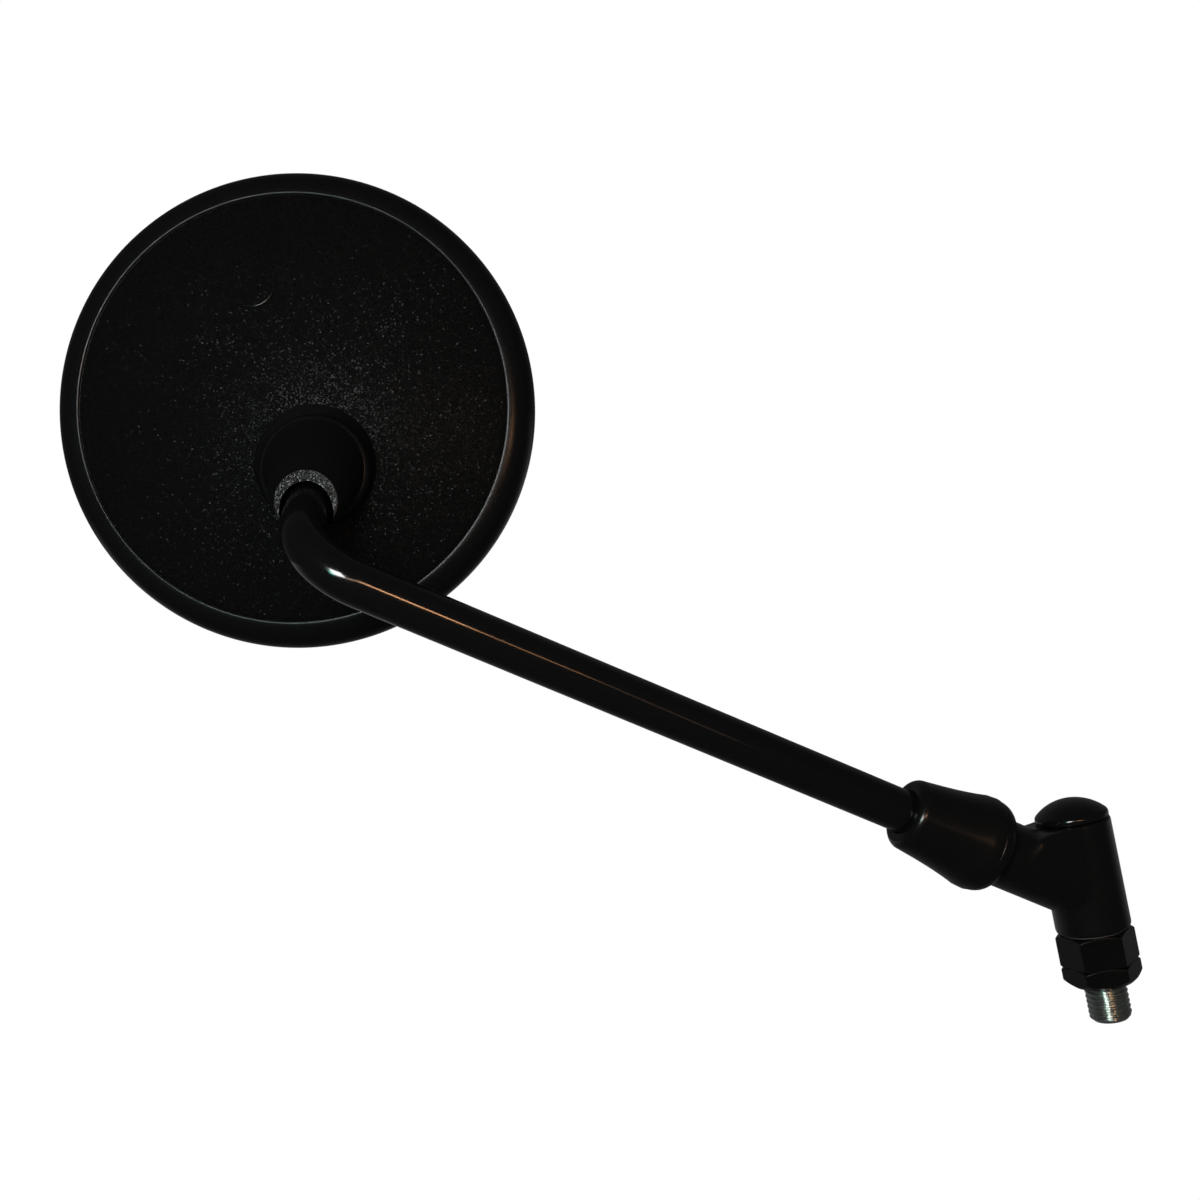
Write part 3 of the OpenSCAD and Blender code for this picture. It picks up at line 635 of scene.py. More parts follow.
@dataclass
class Head:
    """Housing skin, boss, patch, screw posts and glass of the mirror's head."""

    lay: Layout
    radius: float = 57.0
    rim_w: float = 6.1
    rim_rise: float = 6.4
    front_depth: float = 6.0
    widest: float = -4.5
    dome_rise: float = 7.6
    rim_step: float = 0.7
    wall: float = 2.2
    pocket_round: float = 4.0
    lip_wall: float = 1.7
    bead: float = 0.9
    rim_bead_r: float = 0.3
    ledge_w: float = 3.4
    cushion_t: float = 1.2
    glass_t: float = 2.0
    glass_play: float = 0.3
    glass_curve: float = 1000.0
    patch_r: float = 5.35
    patch_x: float = 0.5
    patch_up: float = 29.2
    patch_rise: float = 0.35
    patch_round: float = 0.25
    boss_r: float = 14.0
    shoulder_r: float = 12.8
    shoulder_rise: float = 4.0
    shoulder_round: float = 1.6
    boss_x: float = 0.85
    boss_up: float = 5.8
    shoulder_drop: float = 1.3
    face_r: float = 7.2
    face_x: float = 0.55
    face_drop: float = 3.8
    face_reach: float = 10.2
    face_break: float = 0.4
    foot_flare: float = 0.25
    ball_r: float = 5.8
    liner_t: float = 0.65
    ball_gap: float = 0.05
    mouth_r: float = 5.95
    flare_len: float = 4.2
    flare_rise: float = 1.1
    plate_from: float = 15.3
    screw_circle: float = 12.5
    screw_r: float = 1.45
    post_r: float = 3.2

    @property
    def glass_front(self) -> float:
        """Level of the glass's edge, just behind the bead at the front."""
        return self.widest - self.front_depth + self.bead + 0.05

    @property
    def rim_top(self) -> float:
        """Level of the rim band's top."""
        return self.widest + self.rim_rise

    @property
    def dome_r(self) -> float:
        """Radius of the grained dome."""
        return self.radius - self.rim_w - 0.3

    @property
    def dome_top(self) -> float:
        """Level of the dome's apex."""
        return self.rim_top - self.rim_step + self.dome_rise

    def dome_at(self, r: np.ndarray, depth: float = 0.0) -> np.ndarray:
        """Level of the dome's sphere at the radius r, pushed in by depth."""
        curve = (self.dome_r**2 + self.dome_rise**2) / (2.0 * self.dome_rise)
        return self.dome_top - curve + np.sqrt((curve - depth) ** 2 - np.asarray(r, float) ** 2)

    def dome_ring(self, centre: np.ndarray, radius: float, lift: float, count: int) -> np.ndarray:
        """Ring round a centre in the head's frame, at a lift above the dome."""
        xy = centre + radius * around(count)
        return np.concatenate([xy, self.dome_at(np.linalg.norm(xy, axis=1))[:, None] + lift], axis=1)

    def shell(self) -> Surface:
        """Housing without its boss: the section of lip, rim band, step, dome and pocket turned about the axis.

        Returns:
            The closed surface, with the finishes of rim, dome and bead by row.
        """
        head_r, front, edge, bead_r = self.radius, self.widest - self.front_depth, self.rim_top, self.rim_bead_r
        pocket_r = head_r - 2.0 * self.lip_wall
        ledge = self.glass_front + self.glass_t + self.cushion_t
        inner_r, fillet = pocket_r - self.ledge_w, self.pocket_round
        fillet_r = inner_r - fillet
        parts = [
            # inner edge of the front bead, lip up to the widest ring, rim band, its bead, foot of the step
            arc((pocket_r - self.bead + 0.35, front + 0.3), 0.35, 0.3, 180, 270, 6),
            arc((head_r - self.lip_wall, self.widest), self.lip_wall, self.front_depth, -80, 0, 22),
            arc((head_r - self.rim_w, self.widest), self.rim_w, self.rim_rise, 3, 87, 40),
            arc((head_r - self.rim_w + 0.05, edge - bead_r), bead_r, bead_r, 90, 180, 8),
            arc((self.dome_r - 0.05, edge - self.rim_step + 0.12), 0.18, 0.22, 0, -90, 5),
        ]
        rim = np.concatenate(parts)
        r, r_in = np.linspace(self.dome_r - 0.5, 0.6, 46), np.linspace(0.6, fillet_r, 18)
        outer = np.concatenate([rim, columns(r, self.dome_at(r)), [[POLE, self.dome_top]]])
        profile = np.concatenate([
            # outside, then back under the dome, down the pocket's wall, over the ledge and behind the front bead
            outer, [[POLE, self.dome_top - self.wall]], columns(r_in, self.dome_at(r_in, self.wall)),
            arc((fillet_r, float(self.dome_at(fillet_r, self.wall)) - fillet), fillet, fillet, 75, 0, 6),
            [[inner_r, ledge], [pocket_r, ledge], [pocket_r, self.glass_front],
             [pocket_r - self.bead, self.glass_front - 0.6]],
        ])
        marks = np.zeros(len(profile), int)
        marks[len(rim) - 1:len(outer)] = 1
        bead_from = sum(len(part) for part in parts[:3])
        marks[bead_from:bead_from + len(parts[3]) - 1] = 2
        return Surface(turned(profile, self.lay.head, 288), wrap=True, finish_rows=marks)

    def room(self) -> Surface:
        """Room for the ball, cup and spring.

        Returns:
            A sphere's cap over a straight bore towards the glass.
        """
        socket_r = self.ball_r + self.liner_t + 2.0 * self.ball_gap
        bore_r = socket_r + 0.1
        top = arc((0.0, 0.0), socket_r, socket_r, 89.5, 2, 24)
        profile = np.concatenate([top, [[bore_r, 0.0], [bore_r, -self.plate_from - 1.0]]])
        return Surface(turned(profile, replace(self.lay.head, origin=self.lay.ball), 96))

    def mouth(self) -> Surface:
        """Way out for the stem.

        Returns:
            A flare and a straight hole along the stem's leg.
        """
        start = self.ball_r - 1.4
        flare_end = start + self.flare_len
        profile = np.array([[0.05, start], [self.mouth_r - self.flare_rise, start], [self.mouth_r, flare_end],
                            [self.mouth_r, self.face_reach * 2.4], [0.05, self.face_reach * 2.4]])
        return Surface(turned(profile, Frame.towards(self.lay.ball, -self.lay.leg), 96))

    def boss(self) -> Surface:
        """Slanted boss as a stack of rings in the head's frame.

        The foot ring follows the dome and flares out to it by a quarter circle, the wall rises to the shoulder,
        the shoulder is a quarter circle, and a ruled cone runs from it to the end face.

        Returns:
            The closed surface, with the end face in its own finish.
        """
        count, foot_r, flare = 192, self.boss_r, self.foot_flare
        ball = np.array([self.lay.ball_x, -self.lay.ball_drop])
        foot_c = ball + [self.boss_x, self.boss_up]
        shoulder_c = foot_c - [0.0, self.shoulder_drop]
        face_c = ball - [self.face_x, self.face_drop]
        top = float(self.dome_at(np.linalg.norm(foot_c))) + self.shoulder_rise
        face = -self.lay.ball_y + self.face_reach

        def flat(centre: np.ndarray, radius: float, level: float) -> np.ndarray:
            """Level ring round a centre."""
            return np.concatenate([centre + radius * around(count), np.full((count, 1), level)], axis=1)

        # underside below the dome, flare, wall, shoulder, cone, end face's break and end face
        steps = [(foot_r * q, -self.wall * 0.7) for q in (POLE, 0.5, 0.98)] + [(foot_r + flare, -0.3)]
        steps += [(foot_r + flare * drop, flare * inset - 0.02) for inset, drop in rounding(0, 90, 8)]
        rings = [self.dome_ring(foot_c, radius, lift, count) for radius, lift in steps]
        foot, shoulder = rings[-1], flat(shoulder_c, self.shoulder_r, top - self.shoulder_round)
        rings += [foot + (shoulder - foot) * q for q in (0.3, 0.65, 0.97)]
        rings += [flat(shoulder_c, self.shoulder_r - self.shoulder_round * inset, top - self.shoulder_round * drop)
                  for inset, drop in rounding(4, 72, 14)]
        cone_foot, cone_end = rings[-1], flat(face_c, self.face_r, face - self.face_break)
        rings += [cone_foot + (cone_end - cone_foot) * q for q in np.linspace(0.06, 0.97, 18)]
        rings += [flat(face_c, self.face_r - self.face_break * inset, face - self.face_break * drop)
                  for inset, drop in rounding(10, 85, 6)]
        smooth_rows = len(rings) - 1
        rings += [flat(face_c, self.face_r * q, face) for q in (0.92, 0.5, POLE)]
        marks = (np.arange(len(rings) - 1) >= smooth_rows).astype(int)
        return Surface(self.lay.head.put(np.stack(rings)), finish_rows=marks)

    def patch(self) -> Surface:
        """Bare raised patch: a disc that follows the dome at a small lift, with a rounded edge.

        Returns:
            The closed surface, with the edge in its own finish.
        """
        steps = [(POLE, -0.6), (self.patch_r, -0.6)]
        steps += [(self.patch_r - self.patch_round * inset, self.patch_rise - self.patch_round * drop)
                  for inset, drop in rounding(0, 90, 7)]
        steps += [(self.patch_r * q, self.patch_rise) for q in (0.8, 0.5, 0.25, POLE)]
        rings = [self.dome_ring(np.array([self.patch_x, self.patch_up]), *step, 96) for step in steps]
        marks = np.zeros(len(rings) - 1, int)
        marks[1:8] = 1
        return Surface(self.lay.head.put(np.stack(rings)), finish_rows=marks)

    def posts(self) -> list[Surface]:
        """Hollow posts for the retainer screws, each turned about its own screw's axis.

        Returns:
            A closed surface for each screw.
        """
        made, head = [], self.lay.head
        for angle in np.radians([30.0, 150.0, 270.0]):
            x = self.lay.ball_x + self.screw_circle * math.cos(angle)
            y = -self.lay.ball_drop - self.screw_circle * math.sin(angle)
            top = float(self.dome_at(math.hypot(x, y) + self.post_r, self.wall)) + self.wall / 2.0
            foot = -self.lay.ball_y - self.plate_from
            place = replace(head, origin=head.put([x, y, 0.0]))
            profile = np.array([[self.post_r, foot + 0.2], [self.post_r, top], [self.screw_r, top],
                                [self.screw_r, foot], [self.post_r - 0.2, foot]])
            made.append(Surface(turned(profile, place, 48), wrap=True))
        return made

    def glass(self) -> Surface:
        """Convex glass: front and back are spheres of the same radius, with a ground, bevelled edge.

        Returns:
            The closed surface, with the edge in its own finish.
        """
        front, r_max = self.glass_front, self.radius - 2.0 * self.lip_wall - self.glass_play
        sag = self.glass_curve - math.sqrt(self.glass_curve**2 - r_max**2)
        back_r = np.linspace(0.5, r_max - 0.3, 30)

        def level(base: float, radius: np.ndarray) -> np.ndarray:
            """Level of the sphere through the glass's edge at base."""
            return base - sag + self.glass_curve - np.sqrt(self.glass_curve**2 - radius**2)

        back = columns(back_r, level(front + self.glass_t, back_r))
        edge = np.array([[r_max, front + self.glass_t - 0.3], [r_max, front + 0.35]])
        face = columns(back_r, level(front, back_r))[::-1]
        profile = np.concatenate([back, edge, face])
        marks = np.zeros(len(profile) - 1, int)
        marks[len(back) - 1:len(back) + 2] = 1
        return Surface(turned(profile, self.lay.head, 256), finish_rows=marks)

    def build(self, finishes: Finishes) -> Pieces:
        """Makes the pieces, dresses them and hands them to the head body.

        Args:
            finishes: The materials.

        Returns:
            The pieces.
        """
        shell = make_piece("housing_shell", [self.shell()], 30.0)
        finishes.dress(shell, "rim", "dome", "bead")
        cut(shell, [self.room()])
        boss = make_piece("housing_boss", [self.boss()], 30.0)
        finishes.dress(boss, "boss", "face")
        cut(boss, [self.mouth(), self.room()])
        patch = make_piece("housing_patch", [self.patch()], 60.0)
        finishes.dress(patch, "dome", "patch_edge")
        posts = make_piece("housing_posts", self.posts(), 30.0)
        finishes.dress(posts, "boss")
        glass = make_piece("mirror_disc", [self.glass()], 30.0)
        finishes.dress(glass, "silver", "ground_edge")
        for piece in (shell, boss, patch, posts):
            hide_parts("head_housing")
        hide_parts("mirror_glass")
        pieces = [shell, boss, patch, posts, glass]
        for piece in pieces:
            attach(piece, "head")
        return pieces


@dataclass
class Stem:
    """Bent stem: threaded end, straight, bend, leg, neck and ball as one swept surface."""

    lay: Layout
    radius: float = 5.0
    start: float = 16.0
    ball_r: float = 5.8
    neck_r: float = 3.9
    neck_len: float = 8.2
    neck_taper: float = 1.4
    thread_from: float = 30.0
    thread_to: float = 45.6
    pitch: float = 1.25
    thread_depth: float = 0.6

    def path(self) -> tuple[np.ndarray, np.ndarray, np.ndarray, np.ndarray, float]:
        """Samples of the centreline: lengths, centres, radial directions, the binormal and the ball's length.

        The straight runs along the arm, the bend is a circle about a centre in the plane of the arm and the leg,
        and the leg runs on to the ball's centre. The radial direction points from the bend's centre outwards.

        Returns:
            The five, in that order.
        """
        lay = self.lay
        leg_len = float(np.linalg.norm(lay.ball - lay.corner))
        inside = math.acos(float(-lay.arm_dir @ lay.leg))
        tangent_len = lay.bend_r / math.tan(inside / 2.0)
        centre = lay.corner + unit(lay.leg - lay.arm_dir) * lay.bend_r / math.sin(inside / 2.0)
        out0 = unit(lay.corner - tangent_len * lay.arm_dir - centre)
        turn = math.pi - inside
        straight_end = lay.stem_len - tangent_len
        bend_end = straight_end + turn * lay.bend_r
        ball_at = bend_end + leg_len - tangent_len
        neck = ball_at - self.neck_len
        t = np.arccos(np.linspace(math.sqrt(1 - (self.neck_r / self.ball_r) ** 2), -0.9995, 26))
        ball_s = ball_at - self.ball_r * np.cos(t)
        s = np.concatenate([
            [self.start, self.start + 1.0], np.linspace(self.start + 2, self.thread_from - 0.2, 5),
            np.arange(self.thread_from, self.thread_to, 0.1), np.linspace(self.thread_to, straight_end, 60)[:-1],
            np.linspace(straight_end, bend_end, 56), np.linspace(bend_end, neck - self.neck_taper, 8)[1:],
            [neck], ball_s,
        ])
        angle = np.clip((s - straight_end) / lay.bend_r, 0.0, turn)[:, None]
        out = np.cos(angle) * out0 + np.sin(angle) * lay.arm_dir
        along = -np.sin(angle) * out0 + np.cos(angle) * lay.arm_dir
        before = np.minimum(s - straight_end, 0.0)[:, None]
        after = np.maximum(s - bend_end, 0.0)[:, None]
        centres = centre + lay.bend_r * out + (before + after) * along
        return s, centres, out, np.cross(out0, lay.arm_dir), ball_at

    def build(self, finishes: Finishes) -> Pieces:
        """Sweeps the radius along the path, with a helical thread at the lower end, and dresses the rod.

        Args:
            finishes: The materials.

        Returns:
            The pieces.
        """
        s, centres, out, binormal, ball_at = self.path()
        v = circle(80)
        radius = np.full_like(s, self.radius)
        radius[0] -= 0.9
        radius[s > ball_at - self.neck_len - 1e-6] = self.neck_r
        on_ball = s >= ball_at - self.ball_r * math.sqrt(1 - (self.neck_r / self.ball_r) ** 2) - 1e-6
        radius[on_ball] = np.sqrt(np.maximum(self.ball_r**2 - (s[on_ball] - ball_at) ** 2, 0.01))
        phase = (s[:, None] / self.pitch + v / TAU) % 1.0
        groove = np.clip(1.25 - np.abs(phase - 0.5) * 2.9, 0.0, 1.0)
        window = smooth_step(s, self.thread_from, self.thread_from + 1)
        window = window * (1 - smooth_step(s, self.thread_to - 2.2, self.thread_to))
        grid = radius[:, None] - self.thread_depth * window[:, None] * groove
        ring = np.cos(v)[None, :, None] * out[:, None, :] + np.sin(v)[None, :, None] * binormal
        rod = make_piece("stem_rod", [Surface(centres[:, None, :] + grid[:, :, None] * ring)], 32.0)
        finishes.dress(rod, "paint")
        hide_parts("mirror_stem")
        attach(rod, "stem")
        return [rod]


@dataclass
class Boot:
    """Rubber boot over the stem's lock nut: a turned shell with a crease, a waist and rounded ends."""

    lay: Layout
    start: float = 26.6
    length: float = 24.4
    crease_at: float = 3.4
    band: float = 2.2
    lip_r: float = 11.2
    neck_r: float = 8.4
    waist: float = 0.3
    wall: float = 2.4
    stem_gap: float = 0.1
    mouth_round: float = 0.3
    shoulder_round: float = 2.0
    nut_flats: float = 14.0
    nut_end: float = 42.5
    nut_gap: float = 0.3
    stem_r: float = 5.0

    def build(self, finishes: Finishes) -> Pieces:
        """Turns the profile about the arm: lower end, crease, widest ring, waisted taper, shoulder and bore.

        Args:
            finishes: The materials.

        Returns:
            The pieces.
        """
        end = self.start + self.length
        crease = self.start + self.crease_at
        taper_from, taper_to = crease + self.band, end - self.wall
        q = np.linspace(0.0, 1.0, 34)
        taper_r = self.lip_r - (self.lip_r - self.neck_r) * q - self.waist * np.sin(np.pi * q**0.8)
        taper = columns(taper_r, taper_from + (taper_to - taper_from) * q)
        stem_r = self.stem_r + self.stem_gap
        room_r = self.nut_flats / 2.0 / math.cos(math.pi / 6.0) + self.nut_gap
        room_end = self.nut_end + 0.8
        profile = np.concatenate([
            # lower mouth, lower end up to the crease, the crease, widest ring, taper, shoulder, upper mouth, bore
            arc((room_r + self.mouth_round, self.start + self.mouth_round), self.mouth_round, self.mouth_round, 180,
                268, 6),
            arc((room_r + 0.5, crease), self.lip_r - room_r - 0.72, self.crease_at, -80, -6, 18),
            arc((self.lip_r - 0.42, crease + 0.02), 0.12, 0.1, 20, 20, 1),
            arc((self.lip_r - 0.5, crease + 0.55), 0.5, 0.45, -78, 0, 9),
            taper[1:],
            arc((self.neck_r - self.shoulder_round, taper_to), self.shoulder_round, self.wall, 12, 84, 16),
            [[stem_r + 0.5, end]],
            arc((stem_r + 0.35, end - 0.4), 0.35, 0.4, 110, 180, 4),
            [[stem_r, room_end + 2.0], [room_r - 1.5, room_end + 1.0], [room_r, room_end]],
        ])
        boot = make_piece("boot_rubber", [Surface(turned(profile, self.lay.arm, 160), wrap=True)], 50.0)
        finishes.dress(boot, "rubber")
        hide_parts("rubber_boot")
        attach(boot, "boot")
        return [boot]


@dataclass
class HexNut:
    """Chamfered hexagon with a bore, as one surface of angle and level.

    The outside is the soft minimum of the hexagon's distance and the two chamfer cones, so corners and chamfer
    edges are slightly rounded and catch the light.
    """

    name: str
    node: str
    body: str
    slot: str
    finish: str
    place: Frame
    flats: float
    height: float
    bore: float
    foot_r: float
    turn_deg: float = 0.0
    low: float = 0.0
    low_slope: float = 0.8
    high_slope: float = 0.55
    soft: float = 0.05
    bore_break: float = 0.25

    def build(self, finishes: Finishes) -> Pieces:
        """Makes the nut and hands it to its body.

        Args:
            finishes: The materials.

        Returns:
            The pieces.
        """
        v, apothem = circle(216), self.flats / 2.0
        top_r, corner = apothem - 0.2, apothem / math.cos(math.pi / 6.0)
        normals = np.radians(30.0 + 60.0 * np.arange(6) + self.turn_deg)
        facing = np.maximum(np.cos(v[None, :] - normals[:, None]), 0.0)
        hexagon = apothem / (facing**90).sum(axis=0) ** (1.0 / 90.0)
        low_cut = (corner + 0.1 - self.foot_r) * self.low_slope + 0.3
        high_cut = (corner + 0.1 - top_r) * self.high_slope
        high_from = self.height - high_cut - 0.3
        z = np.concatenate([np.linspace(0.0, low_cut, 12), np.linspace(low_cut, high_from, 5)[1:-1],
                            np.linspace(high_from, self.height, 12)])
        cones = self.foot_r + z / self.low_slope, top_r + (self.height - z) / self.high_slope
        terms = np.stack(np.broadcast_arrays(hexagon, *(cone[:, None] for cone in cones)))
        outside = -self.soft * np.log(np.exp(-(terms - apothem) / self.soft).sum(axis=0)) + apothem
        bore = np.full((4, len(v)), self.bore) + self.bore_break * np.array([[1.0], [0.0], [0.0], [1.0]])
        level = np.concatenate([z, [self.height, self.height - self.bore_break, self.bore_break, 0.0]]) + self.low
        rings = wound(np.concatenate([outside, bore]), level, self.place)
        nut = make_piece(self.name, [Surface(rings, wrap=True)], 38.0)
        finishes.dress(nut, self.finish)
        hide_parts(self.node)
        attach(nut, self.body)
        return [nut]


@dataclass
class Spindle:
    """Bright stud and pivot shaft in one turned surface, with a helical thread on the stud."""

    lay: Layout
    radius: float = 4.9
    relief: float = 0.6
    shaft_r: float = 4.0
    hex_top: float = 12.5
    shaft_top: float = 36.4
    stud_len: float = 8.1
    tip: float = 0.8
    pitch: float = 1.25
    depth: float = 0.5

    def build(self, finishes: Finishes) -> Pieces:
        """The radius over angle and level: a rounded thread below the lock nut, plain core and shaft above it.

        Args:
            finishes: The materials.

        Returns:
            The pieces.
        """
        low = -self.stud_len - self.tip
        z = np.concatenate([np.arange(low, 0.4, 0.06), np.linspace(0.5, self.hex_top - 0.01, 8),
                            [self.hex_top], np.linspace(self.hex_top + 0.4, self.shaft_top - 0.6, 12),
                            [self.shaft_top]])
        radius = np.where(z > self.hex_top - 0.005, self.shaft_r, self.radius - self.relief)
        radius[-1] = self.shaft_r - 0.6
        phase = (z[:, None] / self.pitch + circle(128) / TAU) % 1.0
        threaded = self.radius - self.depth * (1.0 - np.abs(np.cos(math.pi * phase)))
        window = 1.0 - smooth_step(z, 0.1, 0.35)[:, None]
        grid = window * threaded + (1.0 - window) * radius[:, None]
        tip_cone = self.radius - self.tip - 0.15 + (z - low)
        grid = np.minimum(grid, np.maximum(tip_cone, 0.5)[:, None])
        stud = make_piece("spindle_stud", [Surface(wound(grid, z, self.lay.barrel))], 50.0)
        finishes.dress(stud, "zinc")
        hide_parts("spindle")
        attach(stud, "spindle")
        return [stud]


@dataclass
class Knuckle:
    """Cast arm and barrel, and the domed cap on the barrel."""

    lay: Layout
    voxel: float = 0.36
    smooth_rounds: int = 6
    web_rounds: int = 60
    web_from: tuple[float, float] = (13.0, 16.0)
    web_to: tuple[float, float] = (25.0, 26.5)
    mask_steps: int = 10
    barrel_top: float = 39.1
    counter_r: float = 7.2
    skirt_len: float = 2.4
    cap_r: float = 8.5
    cap_band: float = 1.75
    cap_round: float = 1.4
    cap_groove: float = 0.15
    cap_dome: float = 3.3
    cap_t: float = 1.3

    def build(self, finishes: Finishes) -> Pieces:
        """Rounds a merged copy of the casting by a fine remesh and smoothing, and turns the cap.

        Args:
            finishes: The materials.

        Returns:
            The pieces.
        """
        body = bpy.data.objects.new("knuckle_casting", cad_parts["knuckle_body"].data.copy())
        bpy.context.scene.collection.objects.link(body)
        weld = body.modifiers.new("weld", "WELD")
        weld.merge_threshold = 0.00001
        remesh = body.modifiers.new("remesh", "REMESH")
        remesh.mode, remesh.voxel_size = "VOXEL", self.voxel * MM
        soften = body.modifiers.new("soften", "SMOOTH")
        soften.factor, soften.iterations = 0.5, self.smooth_rounds
        applied(body)
        self.soften_web(body)
        body.data.shade_smooth()
        finishes.dress(body, "cast")
        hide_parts("knuckle_body")
        cap = make_piece("cap_dome", [self.cap()], 50.0)
        finishes.dress(cap, "cap")
        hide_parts("dome_cap")
        for piece in (body, cap):
            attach(piece, "knuckle")
        return [body, cap]

    def soften_web(self, body: bpy.types.Object) -> None:
        """Smooths the casting more where the web runs out on the arm, by a soft mask along and above the arm.

        Args:
            body: The casting's piece.
        """
        points = np.empty(len(body.data.vertices) * 3)
        body.data.vertices.foreach_get("co", points)
        local = points.reshape(-1, 3) / MM - self.lay.arm_o
        along = local @ self.lay.arm_dir
        above = (local - along[:, None] * self.lay.arm_dir)[:, 2]
        mask = smooth_step(along, *self.web_from) * (1.0 - smooth_step(along, *self.web_to))
        mask = mask * smooth_step(above, 0.0, 2.0)
        group = body.vertex_groups.new(name="web_end")
        for step in range(1, self.mask_steps + 1):
            chosen = np.nonzero(np.round(mask * self.mask_steps) == step)[0]
            group.add(chosen.tolist(), step / self.mask_steps, "REPLACE")
        ease = body.modifiers.new("ease", "SMOOTH")
        ease.factor, ease.iterations, ease.vertex_group = 0.5, self.web_rounds, group.name
        applied(body)

    def cap(self) -> Surface:
        """Cap: skirt, groove, low band, a 45 degree round and a spherical dome tangent to it, hollow inside.

        Returns:
            The closed surface.
        """
        skirt_r, foot = self.counter_r - 0.02, self.barrel_top - self.skirt_len
        band, shoulder = self.barrel_top + self.cap_groove, self.barrel_top + self.cap_groove + self.cap_band
        rim = self.cap_r - self.cap_round * (1.0 - math.sqrt(0.5))
        curve = (rim**2 + self.cap_dome**2) / (2.0 * self.cap_dome)
        inner, apex = skirt_r - self.cap_t, shoulder + self.cap_dome
        r = np.linspace(rim - 0.1, 0.3, 30)
        over = columns(r, apex - curve + np.sqrt(curve**2 - r**2))
        r = np.linspace(0.3, inner, 12)
        under = columns(r, apex - self.cap_t - curve + np.sqrt(curve**2 - r**2))
        profile = np.concatenate([
            # skirt's foot and wall, band's lower edge, round, dome, underside
            [[skirt_r - 0.3, foot], [skirt_r, foot + 0.6], [skirt_r, band]],
            arc((self.cap_r - 0.3, band + 0.3), 0.3, 0.3, -90, 0, 6),
            arc((self.cap_r - self.cap_round, shoulder - self.cap_round * math.sqrt(0.5)), self.cap_round,
                self.cap_round, 0, 43, 10), over, under, [[inner, foot]],
        ])
        return Surface(turned(profile, self.lay.barrel, 144), wrap=True)


@dataclass
class InnerParts:
    """CAD nodes that keep their shape and only get a finish."""

    finish_of: dict[str, str] = field(default_factory=lambda: {
        "glass_cushion": "foam", "ball_liner": "nylon", "ball_cup": "nylon", "pressure_washer": "spring",
        "cup_spring": "spring", "retainer_plate": "zinc", "retainer_screw_1": "zinc", "retainer_screw_2": "zinc",
        "retainer_screw_3": "zinc", "pivot_bush": "bronze", "friction_washer": "fibre",
        "spring_washer_lower": "spring", "spring_washer_upper": "spring", "disc_spring_1": "spring",
        "disc_spring_2": "spring", "disc_spring_3": "spring", "disc_spring_4": "spring",
    })

    def build(self, finishes: Finishes) -> Pieces:
        """Puts the finish on every listed node.

        Args:
            finishes: The materials.

        Returns:
            The pieces.
        """
        nodes = {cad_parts[name]: key for name, key in self.finish_of.items()}
        for node, key in nodes.items():
            finishes.dress(node, key)
        return list(nodes)


# Studio


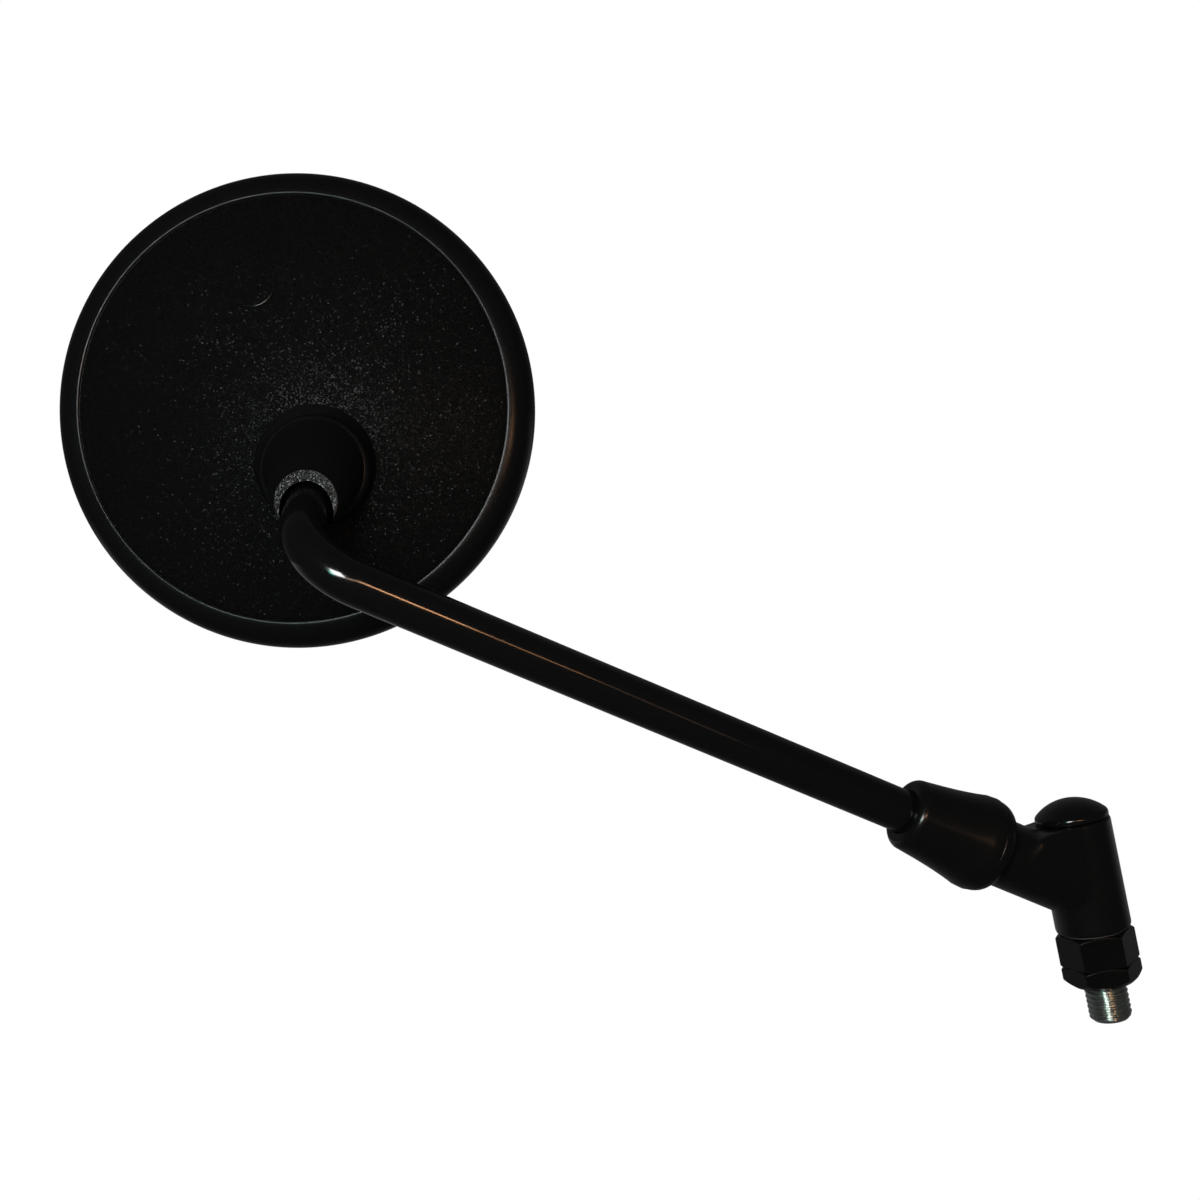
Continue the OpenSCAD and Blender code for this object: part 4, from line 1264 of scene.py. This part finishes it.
@dataclass
class Studio:
    """Camera, lamps, world and floor."""

    eye: tuple[float, float, float] = (-99.7, -332.5, 112.2)
    roll: float = math.atan2(0.196, 0.981)
    focal_px: float = 1400.0
    picture_px: float = 1200.0
    floor_z: float = -420.0
    floor_half: float = 6.0

    def camera(self) -> None:
        """Camera at the photograph's place: it looks along +Y and is rolled about its own axis."""
        data = bpy.data.cameras.new("camera")
        data.sensor_width = 36.0
        data.lens = self.focal_px / self.picture_px * data.sensor_width
        data.clip_start, data.clip_end = 0.01, 50.0
        camera = bpy.data.objects.new("camera", data)
        camera.location = [c * MM for c in self.eye]
        camera.rotation_mode = "XYZ"
        camera.rotation_euler = (math.pi / 2.0, self.roll, 0.0)
        bpy.context.scene.collection.objects.link(camera)
        bpy.context.scene.camera = camera

    def lamp(self, name: str, at: Sequence[float], aim: Sequence[float], size: tuple[float, float], power: float,
             colour: Colour = WHITE, long_axis: Optional[Sequence[float]] = None,
             seen_in_gloss: bool = True) -> None:
        """Area lamp, aimed at a point.

        Args:
            name: Name of the lamp.
            at: Place in millimetres.
            aim: Point that the lamp faces.
            size: Long and short side in millimetres.
            power: Power in watts.
            colour: Colour in linear light.
            long_axis: Direction of the long side; level where none is given.
            seen_in_gloss: False hides the lamp in reflections.
        """
        data = bpy.data.lights.new(name, "AREA")
        data.shape, data.size, data.size_y = "RECTANGLE", size[0] * MM, size[1] * MM
        data.energy, data.color = power, colour
        lamp = bpy.data.objects.new(name, data)
        back = unit(np.asarray(at, float) - np.asarray(aim, float))
        side = unit(long_axis if long_axis is not None else np.cross([0.0, 0.0, 1.0], back))
        side = unit(side - back * float(side @ back))
        matrix = np.eye(4)
        matrix[:3] = columns(side, np.cross(back, side), back, np.asarray(at, float) * MM)
        lamp.matrix_world = Matrix(matrix.tolist())
        lamp.visible_camera, lamp.visible_glossy = False, seen_in_gloss
        bpy.context.scene.collection.objects.link(lamp)

    def lamps(self) -> None:
        """White flash above the camera, a fading warm strip to its right, a teal edge to its left, and soft fills."""
        warm = (1.0, 0.5, 0.24)
        for name, at, size, power, colour, axis in (
                ("flash", (-184, -400, 202), (112, 84), 0.95, WHITE, None),
                ("strip_first", (-60, -400, 163), (120, 12), 0.07, (1.0, 0.7, 0.5), (1, 0, 0)),
                ("teal_edge", (-262, -400, 176), (36, 64), 0.13, (0.3, 0.95, 0.8), None),
                ("strip_near", (30, -400, 156), (64, 20), 0.14, warm, (64, 0, -27)),
                ("strip_far", (92, -400, 126), (74, 16), 0.035, warm, (66, 0, -34)),
                ("strip_low", (150, -400, 60), (100, 14), 0.006, (1.0, 0.6, 0.4), (40, 0, -95))):
            self.lamp(name, at, (-80, 0, 80), size, power, colour, axis)
        for name, at, power in (("fill_left", (-900, -900, 350), 4.2), ("fill_right", (800, -900, 300), 1.4),
                                ("fill_behind", (-100, 900, 500), 4.0)):
            self.lamp(name, at, (-100, 0, 100), (800, 800), power, seen_in_gloss=False)

    def world(self) -> None:
        """White for the camera; a dim room in front of the object and a pale one behind it for reflections."""
        world = bpy.data.worlds.new("studio")
        bpy.context.scene.world = world
        world.use_nodes = True
        world.node_tree.nodes.clear()
        n = Nodes(world.node_tree)
        rays, way = n.node("LightPath").outputs, n.node("TexCoord").outputs["Generated"]
        behind = n.ramp(n.node("SeparateXYZ", {"Vector": way}).outputs["Y"], (0.0, 0.95), (0.03, 0.1))
        room = n.node("Background", {"Color": (0.93, 0.96, 1.0, 1.0), "Strength": 0.22})
        white = n.node("Background", {"Color": (*WHITE, 1.0), "Strength": 1.0})
        unlit = n.switch(rays["Is Glossy Ray"], room, n.node("Background", {"Strength": behind}))
        bright = n.math("MAXIMUM", rays["Is Camera Ray"], rays["Is Transmission Ray"])
        n.node("OutputWorld", {"Surface": n.switch(bright, unlit, white).outputs[0]})

    def floor(self) -> None:
        """Plain pale floor far below the part: white for the camera, and bright in reflections only behind the part."""
        corners = [(x * self.floor_half, y * self.floor_half, self.floor_z * MM)
                   for x, y in ((-1, -1), (1, -1), (1, 1), (-1, 1))]
        mesh = bpy.data.meshes.new("floor")
        mesh.from_pydata(corners, [], [(0, 1, 2, 3)])
        floor = bpy.data.objects.new("floor", mesh)
        bpy.context.scene.collection.objects.link(floor)
        material = bpy.data.materials.new("floor_paper")
        material.use_nodes = True
        material.node_tree.nodes.clear()
        n = Nodes(material.node_tree)
        rays = n.node("LightPath").outputs
        paper = n.node("BsdfDiffuse", {"Color": (0.5, 0.5, 0.5, 1.0)})
        depth = n.ramp(n.node("SeparateXYZ", {"Vector": n.place()}).outputs["Y"], (0.0, 2.0), (0.03, 0.28), "LINEAR")
        shine = n.switch(rays["Is Glossy Ray"], paper, n.node("Emission", {"Strength": depth}))
        seen = n.switch(rays["Is Camera Ray"], shine, n.node("Emission"))
        n.node("OutputMaterial", {"Surface": seen.outputs[0]})
        mesh.materials.append(material)

    def build(self) -> None:
        """Sets up camera, lamps, world, floor and the view transform."""
        self.camera()
        self.lamps()
        self.world()
        self.floor()
        bpy.context.scene.view_settings.view_transform = "Standard"


def nuts(lay: Layout) -> list[HexNut]:
    """The four hexagons.

    Args:
        lay: Places of the barrel and the arm.

    Returns:
        The nuts, from the stud upwards and then on the stem.
    """
    return [
        HexNut("stud_nut", "stud_locknut", "spindle", "black_steel", "black_steel", lay.barrel, flats=16.0,
               height=4.98, bore=4.35, foot_r=7.0, turn_deg=-10.0),
        HexNut("spindle_collar", "spindle_hex", "spindle", "black_steel", "black_steel", lay.barrel, flats=16.0,
               height=7.5, bore=4.35, foot_r=8.94, turn_deg=-10.0, low=5.0),
        HexNut("shaft_nut", "spindle_nut", "spindle", "zinc_steel", "zinc", lay.barrel, flats=12.0, height=6.0,
               bore=4.05, foot_r=5.8, low=29.4),
        HexNut("stem_nut", "stem_locknut", "stem", "zinc_steel", "zinc", lay.arm, flats=14.0, height=5.5, bore=5.05,
               foot_r=6.8, low=37.02),
    ]


def main() -> None:
    """Builds every class in order and reports each piece."""
    logging.basicConfig(level=logging.INFO, format="%(name)s: %(message)s")
    lay = Layout()
    finishes = Finishes().build()
    for assembly in (Head(lay), Stem(lay), Boot(lay), *nuts(lay), Spindle(lay), Knuckle(lay), InnerParts()):
        for piece in assembly.build(finishes):
            log.info("%s: %d faces", piece.name, len(piece.data.polygons))
    Studio().build()


if __name__ == "__main__":
    main()
